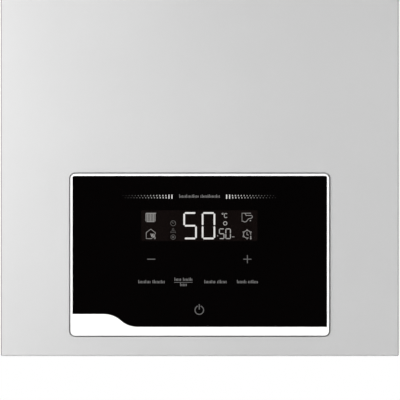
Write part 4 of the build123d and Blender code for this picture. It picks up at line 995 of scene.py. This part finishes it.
def addWordRow(name, x, foot, height, words):
    # stands where a word is printed: fine upright ticks and short dashes, no letters
    pitch = tick["pitch"]
    place = x - pitch * (sum(words) + len(words) - 2) / 2
    marks = []
    index = 0
    for word in words:
        for _ in range(word):
            tall = height * tick["heights"][index % len(tick["heights"])]
            marks.append(bar(place, foot + tall / 2, tall, tick["width"], True, tick["tip"]))
            if index % tick["dashEvery"] == 1:
                marks.append(bar(place, foot + height * tick["dashHeight"], pitch, tick["dashWidth"]))
            place += pitch
            index += 1
        place += pitch
    if name == "row_saving":
        marks.append(bar(x, foot - tick["lineDrop"], pitch * (sum(words) + 1), tick["lineWidth"]))
    addLegend(marks, name, printLegend, True)


ornament = {
    # the two fans of marks beside the middle: places, sizes and how they change outwards
    "inner": 28.8,
    "pitch": 3.15,
    "count": 17,
    "whole": 2,
    "height": 4.5,
    "width": 1.15,
    "z": 30.6,
    "lean": 0.07,
    "thinning": 0.5,
    "dash": 0.38,
    "shortening": 0.2,
    "tip": 0.3,
    "dashTip": 0.4,
    "fade": (26, 86),
    "fadePower": 1.7,
}


def fadeLegend():
    # the ornament's marks are brightest beside the middle and fade outwards
    material, shader, place, mottle = glow("fading_legend", (1.0, 0.98, 0.96), 0.8)
    tree = material.node_tree
    parts = addNode(tree, "SeparateXYZ")
    away = compute(tree, "ABSOLUTE")
    fade = remap(tree, [end * mm for end in ornament["fade"]], (1.0, 0.0))
    power = compute(tree, "POWER")
    power.inputs[1].default_value = ornament["fadePower"]
    dim = mixColors(tree)
    dim.inputs[6].default_value = (0.0, 0.0, 0.0, 1.0)
    wire(tree, [
        (place, "Vector", parts, "Vector"),
        (parts, "X", away, 0),
        (away, 0, fade, "Value"),
        (fade, "Result", power, 0),
        (power, 0, dim, 0),
        (mottle, "Color", dim, 7),
        (dim, 2, shader, "Emission Color"),
    ])
    return material


def addOrnament():
    made = []
    height, z = ornament["height"], ornament["z"]
    for side in (-1, 1):
        for index in range(ornament["count"]):
            x = side * (ornament["inner"] + ornament["pitch"] * index)
            part = index / ornament["count"]
            width = ornament["width"] * (1 - ornament["thinning"] * part)
            lean = ornament["lean"] * index
            if index < ornament["whole"]:
                made.append(bar(x, z, height, width, True, ornament["tip"]))
                continue
            # outer marks break into two short dashes
            dash = height * (ornament["dash"] - ornament["shortening"] * part)
            for end in (-1, 1):
                middle = z + end * height / 4
                made.append(bar(x - end * lean, middle, dash, width, True, ornament["dashTip"]))
    addLegend(made, "ornament_marks", fadeLegend(), True)


addDisplay()
addDigits()
addUnit()
addRadiator()
addHouse()
addStatusSymbols()
addTap()
addTimerSymbol()
addKeys()
addOrnament()
for rowName, row in wordRows.items():
    addWordRow(rowName, *row)
print("panel legends placed")


# ---- gasket behind the shadow gap, and the cover's lining ----
gaskets = {
    # reach outside the panel, rounding, thickness and rear face
    "window_gasket": {"reach": 9.0, "corner": 14.0, "thick": 2.6, "back": -309.0},
    "gap_bead": {"reach": 1.25, "corner": 6.2, "thick": 8.5, "back": -310.5},
}
gasketClear = 0.1
gasketEdge = 0.35
lining = {
    "half": 186.0,
    "low": -440.0,
    "high": 40.0,
    "back": -314.6,
    "thick": 4.3,
    "cells": (26, 33),
    "slope": 3.6,
    "peak": 3.0,
}


def addGasket(name, shape):
    # a soft ring round the panel; the cover's window closes over it
    low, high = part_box("panel_frame")
    reach = shape["reach"]
    bpy.ops.mesh.primitive_plane_add(size=1)
    gasket = newest()
    gasket.scale = (high.x - low.x + 2 * reach * mm, high.z - low.z + 2 * reach * mm, 1)
    applyPlace(gasket)
    startEdit()
    bpy.ops.mesh.bevel(offset=shape["corner"] * mm, segments=8, affect="VERTICES")
    bpy.ops.mesh.inset(thickness=(reach - gasketClear) * mm)
    bpy.ops.mesh.delete(type="FACE")
    bpy.ops.mesh.select_all(action="SELECT")
    extrude(0, 0, shape["thick"] * mm)
    bpy.ops.mesh.bevel(offset=gasketEdge * mm, segments=2)
    closeShape()
    middle = (low + high) / 2
    gasket.rotation_euler = (math.pi / 2, 0, 0)
    gasket.location = (middle.x, shape["back"] * mm, middle.z)
    finishPiece(gasket, name, materials["gasket_foam"], "chassis", smooth=40)


def addLining():
    # sound foam glued inside the cover, moulded in small blunt pyramids
    across, up = lining["cells"]
    bpy.ops.mesh.primitive_grid_add(x_subdivisions=across, y_subdivisions=up, size=1)
    foam = newest()
    foam.scale = (2 * lining["half"] * mm, (lining["high"] - lining["low"]) * mm, 1)
    applyPlace(foam)
    startEdit()
    extrude(0, 0, lining["thick"] * mm)
    bpy.ops.mesh.inset(thickness=lining["slope"] * mm, depth=lining["peak"] * mm, use_individual=True)
    closeShape()
    foam.rotation_euler = (-math.pi / 2, 0, 0)
    foam.location = (0, (lining["back"] - lining["thick"]) * mm, (lining["low"] + lining["high"]) / 2 * mm)
    finishPiece(foam, "cover_lining", materials["sound_foam"], "cover")


for name, shape in gaskets.items():
    addGasket(name, shape)
addLining()
print("gasket and lining placed")


# ---- screws, caps, ribs and bands, each made along Z and then set down where it belongs ----
sunk = -0.3          # how far a piece's foot stands in its carrier, mm
rimSteps = ((0.1, 0.4), (0.25, 0.35), (0.5, 0.25))      # shares of the rim, inwards and up
headSteps = (
    # share of the head's radius; height in mm, and a share of the radius more
    (1.45, sunk, 0), (1.45, 0.4, 0), (1.38, 0.65, 0), (1.0, 0.65, 0), (1.0, 0.65, 0.4),
    (0.82, 0.65, 0.62), (0.42, 0.65, 0.66), (0.36, 0.65, 0.2),
)
facings = {
    "up": (0, 0, 0), "down": (180, 0, 0), "front": (90, 0, 0), "back": (-90, 0, 0),
    "left": (0, -90, 0), "right": (0, 90, 0),
}


def turned(profile, sides):
    # a filled circle drawn up from step to step; each step is a radius and a height
    radius, height = profile[0]
    bpy.ops.mesh.primitive_circle_add(vertices=sides, radius=radius * mm, fill_type="NGON")
    piece = newest()
    piece.location.z = height * mm
    applyPlace(piece)
    startEdit()
    for nextRadius, nextHeight in profile[1:]:
        extrude(0, 0, (nextHeight - height) * mm)
        scale = nextRadius / radius
        bpy.ops.transform.resize(value=(scale, scale, 1))
        radius, height = nextRadius, nextHeight
    closeShape()
    return piece


def pad(wide, tall, corner, height, rim):
    # a raised plate with rounded corners and a rounded rim
    bpy.ops.mesh.primitive_plane_add(size=1)
    piece = newest()
    piece.scale = (wide * mm, tall * mm, 1)
    piece.location.z = sunk * mm
    applyPlace(piece)
    startEdit()
    bpy.ops.mesh.bevel(offset=corner * mm, segments=5, affect="VERTICES")
    extrude(0, 0, (height - sunk - rim) * mm)
    for inward, rise in rimSteps:
        bpy.ops.mesh.inset(thickness=inward * rim * mm, depth=rise * rim * mm)
    closeShape()
    return piece


def band(radius, width, thick):
    # a rounded band round a pipe or a barrel
    bpy.ops.mesh.primitive_torus_add(
        major_radius=radius * mm, minor_radius=thick / 2 * mm, major_segments=64, minor_segments=10
    )
    piece = newest()
    startEdit()
    bpy.ops.transform.resize(value=(1, 1, width / thick))
    endEdit()
    return piece


def setDown(piece, spot, facing, turn):
    piece.rotation_euler = (0, 0, math.radians(turn))
    applyPlace(piece)
    piece.rotation_euler = [math.radians(angle) for angle in facings[facing]]
    piece.location = Vector(spot) * mm
    applyPlace(piece)
    return piece


def addSet(name, make, spots, facing, finish, turns=None):
    # one piece is made and set down at the first spot; the rest are copies with their own mesh
    turns = turns or [0.0] * len(spots)
    made = []
    for spot, turn in zip(spots, turns):
        if made and turn == turns[0]:
            step = (Vector(spot) - Vector(spots[0])) * mm
            made.append(copyTo(made[0], *step))
        else:
            made.append(setDown(make(), spot, facing, turn))
    finishPiece(joinAll(made), name, materials[finish], "chassis", smooth=38)


def beside(centre, across, along, facing):
    x, y, z = centre
    return (x + across, y + along, z) if facing == "up" else (x + across, y, z + along)


def around(centre, radius, angles, facing):
    # spots on a circle that faces up or to the front
    turns = [math.radians(angle) for angle in angles]
    return [beside(centre, radius * math.cos(turn), radius * math.sin(turn), facing) for turn in turns]


def washerHead(radius):
    # pan head on its washer, with a round recess
    return [(wide * radius, low + rise * radius) for wide, low, rise in headSteps]


def corners(x, y, z, dx, dy, facing="up"):
    pairs = [(-1, -1), (1, -1), (1, 1), (-1, 1)]
    return [beside((x, y, z), i * dx, j * dy, facing) for i, j in pairs]


fanPlace = (125.0, -252.0, -150.0)
doorPlace = (-70.0, -217.0, -120.0)
fluePlace = (0.0, -120.0, 63.0)
pumpFace = (130.0, -210.0, -512.0)
screwSets = {
    # head radius, spots, facing
    "adapter_screws": (2.9, around(fluePlace, 58, (0, 90, 180, 270), "up"), "up"),
    "blank_screws": (2.2, corners(-130, -120, 60, 33, 33) + corners(130, -120, 60, 33, 33), "up"),
    "base_screws": (3.0, corners(0, -114, -606, 198, 84), "down"),
    "fan_screws": (2.6, around(fanPlace, 53.5, (30, 90, 150, 210, 270, 330), "front"), "front"),
    "valve_screws": (2.4, [(100, -212, -322), (150, -212, -322)], "front"),
    "pump_bolts": (3.0, around(pumpFace, 29, (45, 135, 225, 315), "front"), "front"),
    "actuator_screws": (2.1, corners(-130, -110, -450, 15, 15), "up"),
    "transformer_screws": (2.4, [(172, -195, 14), (172, -161, -19)], "left"),
    "box_screws": (2.4, corners(0, -254, -553, 122, 70, "back"), "back"),
}
capSets = {
    # sides, radius and height steps, spots, facing, finish
    "flue_test_caps": (
        24, ((6.2, sunk), (6.2, 4.0), (5.5, 5.0), (4.2, 5.0), (3.8, 4.2), (1.5, 4.2)),
        around(fluePlace, 58, (-65, -115), "up"), "up", "black_plastic",
    ),
    "intake_blanks": (
        56,
        ((42, sunk), (42, 1.3), (40.5, 2.3), (37, 2.3), (36, 1.4), (21, 1.4), (19.5, 2.4), (8, 2.4),
         (7, 1.5)),
        ((-130, -120, 60), (130, -120, 60)), "up", "white_flue",
    ),
    "fan_motor_cap": (
        32, ((16, sunk), (16, 1.5), (15, 2.4), (9.5, 2.4), (8.5, 1.2), (3, 1.2)),
        ((125, -284, -150),), "front", "black_plastic",
    ),
    "solenoid_caps": (
        28, ((9, sunk), (9, 1.6), (8.2, 2.5), (3.2, 2.5), (2.6, 1.4)),
        ((109.5, -235, -284), (140.5, -235, -284)), "front", "zinc_steel",
    ),
    "test_nipple": (
        20, ((4.6, sunk), (4.6, 4.5), (3.6, 5.5), (3.1, 11.0), (1.7, 11.6), (1.5, 7.0)),
        ((125, -220, -316),), "front", "brass",
    ),
    "pump_vent_plug": (
        28, ((10, sunk), (10, 2.6), (9, 3.7), (4.2, 3.7), (3.6, 2.0)),
        (pumpFace,), "front", "brass",
    ),
    "manifold_plugs": (
        6, ((8.6, sunk), (8.6, 4.2), (7.8, 5.0), (4.2, 5.0), (3.8, 2.4)),
        ((-130, -145, -578), (-64, -145, -578), (126, -145, -578)), "front", "brass",
    ),
    "exchanger_bolts": (
        6, ((5.0, sunk), (5.0, 2.8), (4.5, 3.4), (2.0, 3.4)),
        corners(0, -110, -500, 70, 19), "up", "zinc_steel",
    ),
    "vessel_valve": (
        20, ((9, sunk), (9, 2.0), (6, 3.0), (4.3, 4.0), (4.3, 8.0), (5.2, 8.4), (5.2, 13.0), (4.4, 14.0)),
        ((-60, -76, -284),), "front", "black_plastic",
    ),
    "pipe_unions": (
        6, ((13.4, -6.0), (14.8, -5.0), (14.8, 5.0), (13.4, 6.0)),
        ((-150, -110, -211), (0, -110, -221), (130, -110, -471)), "up", "brass",
    ),
    "sight_bezel": (
        28, ((11, sunk), (11, 2.6), (10, 3.6), (7.6, 3.6), (7.1, 1.6)),
        around(doorPlace, 62, (240,), "front"), "front", "stainless",
    ),
    "sight_glass": (
        24, ((7.0, 1.4), (7.0, 2.2), (6.2, 2.7), (3.0, 2.9)),
        around(doorPlace, 62, (240,), "front"), "front", "panel_glass",
    ),
}
ribAngles = (30, 90, 150, 180, 210, 270, 300, 330)
ribCircle = 64
ribSize = (70, 3.4, 1.6, 5.0, 1.4)
headSides = 20
padSets = {
    # width, height, corner, proud, rim; spots, facing, finish
    "back_beads": (
        (13, 470, 6.4, 1.2, 1.0), [(x, -12.5, -290) for x in (-135, -45, 45, 135)], "back", "galvanised",
    ),
    "silencer_ribs": (
        (104, 4, 1.8, 1.7, 1.3), [(136, -165, z) for z in (-88, -97, -203, -212)], "front", "black_plastic",
    ),
    "silencer_side_ribs": (
        (130, 4, 1.8, 1.7, 1.3), [(200, y, -150) for y in (-55, -80, -105, -130)], "right", "black_plastic",
    ),
    "silencer_top_ribs": (
        (104, 4, 1.8, 1.7, 1.3), [(136, -46, -75), (136, -150, -75)], "up", "black_plastic",
    ),
    "transformer_fins": (
        (28, 3, 1.4, 2.0, 1.2), [(191, y, 25) for y in (-197, -188, -179, -170, -161)], "up", "black_plastic",
    ),
    "box_louvres": (
        (22, 3.4, 1.6, 1.7, 1.4), [(x, y, -634.2) for x in range(-90, 91, 30) for y in (-287, -279, -271)],
        "down", "grey_plastic",
    ),
    "box_ribs": (
        (214, 3, 1.4, 1.8, 1.2), [(0, -254, z) for z in (-500, -526, -580, -606)], "back", "grey_plastic",
    ),
    "fan_motor_plug": ((21, 10, 2.0, 8.0, 1.2), [(125, -284, -174)], "front", "black_plastic"),
    "pump_head_lid": ((42, 32, 4.0, 2.0, 1.3), [(130, -180, -458)], "up", "black_plastic"),
    "pump_plug": ((26, 9, 1.6, 7.0, 1.0), [(130, -200, -464.4)], "front", "grey_plastic"),
    "actuator_plug": ((18, 11, 1.6, 8.0, 1.2), [(-130, -135, -487)], "front", "grey_plastic"),
    "valve_plug": ((22, 26, 2.0, 7.0, 1.4), [(157.5, -180, -296)], "right", "black_plastic"),
    "manifold_ribs": (
        (3, 46, 1.4, 1.7, 1.2), [(x, -145, -577.5) for x in (-143, -113, -77, -54, 54, 62, 108, 142)],
        "front", "black_plastic",
    ),
    "electrode_tabs": (
        (6.3, 0.9, 0.4, 8.0, 0.3), [(-93, -241, -80.2), (-47, -241, -80.2)], "front", "zinc_steel",
    ),
    "sensor_blocks": (
        (10, 14, 2.2, 7.0, 1.4), [(-178, -118, -450), (130, -118, -436)], "front", "black_plastic",
    ),
    "clamp_screws": (
        (9, 6, 1.2, 4.5, 1.2), [(-162, -194.4, -492), (-70, -158.4, -247), (100, -51.4, -560)],
        "front", "zinc_steel",
    ),
}
bandSets = {
    # ring radius, width, thickness; spots, facing, finish
    "barrel_beads": ((105, 6, 2.6), [(-70, y, -120) for y in (-58, -70, -178, -190)], "front", "stainless"),
    "door_bead": ((100, 3, 3.2), [doorPlace], "front", "cast_aluminium"),
    "vessel_bead": ((82, 3, 7.0), [(0, -76, -392)], "front", "vessel_red"),
    "trap_clamp": ((8.4, 7, 1.2), [(-162, -186, -492)], "up", "stainless"),
    "drain_clamp": ((8.4, 7, 1.2), [(-70, -150, -247)], "up", "stainless"),
    "vessel_hose_clamp": ((6.4, 7, 1.1), [(100, -45, -560)], "up", "stainless"),
    "sensor_clips": ((9.3, 9, 1.3), [(-178, -110, -450), (130, -110, -436)], "up", "stainless"),
    "solenoid_bands": ((14.1, 4, 1.4), [(109.5, -226, -284), (140.5, -226, -284)], "front", "zinc_steel"),
    "collar_bead": ((49.6, 3.4, 2.4), [(0, -120, 84)], "up", "white_flue"),
}
for name, (radius, spots, facing) in screwSets.items():
    addSet(name, lambda: turned(washerHead(radius), headSides), spots, facing, "zinc_steel")
print("screws set")
for name, (sides, profile, spots, facing, finish) in capSets.items():
    addSet(name, lambda: turned(profile, sides), spots, facing, finish)
print("caps, plugs and unions set")
for name, (size, spots, facing, finish) in padSets.items():
    addSet(name, lambda: pad(*size), spots, facing, finish)
doorRibs = around(doorPlace, ribCircle, ribAngles, "front")
addSet("door_ribs", lambda: pad(*ribSize), doorRibs, "front", "cast_aluminium", ribAngles)
print("ribs and pads set")
for name, (size, spots, facing, finish) in bandSets.items():
    addSet(name, lambda: band(*size), spots, facing, finish)
print("bands set")
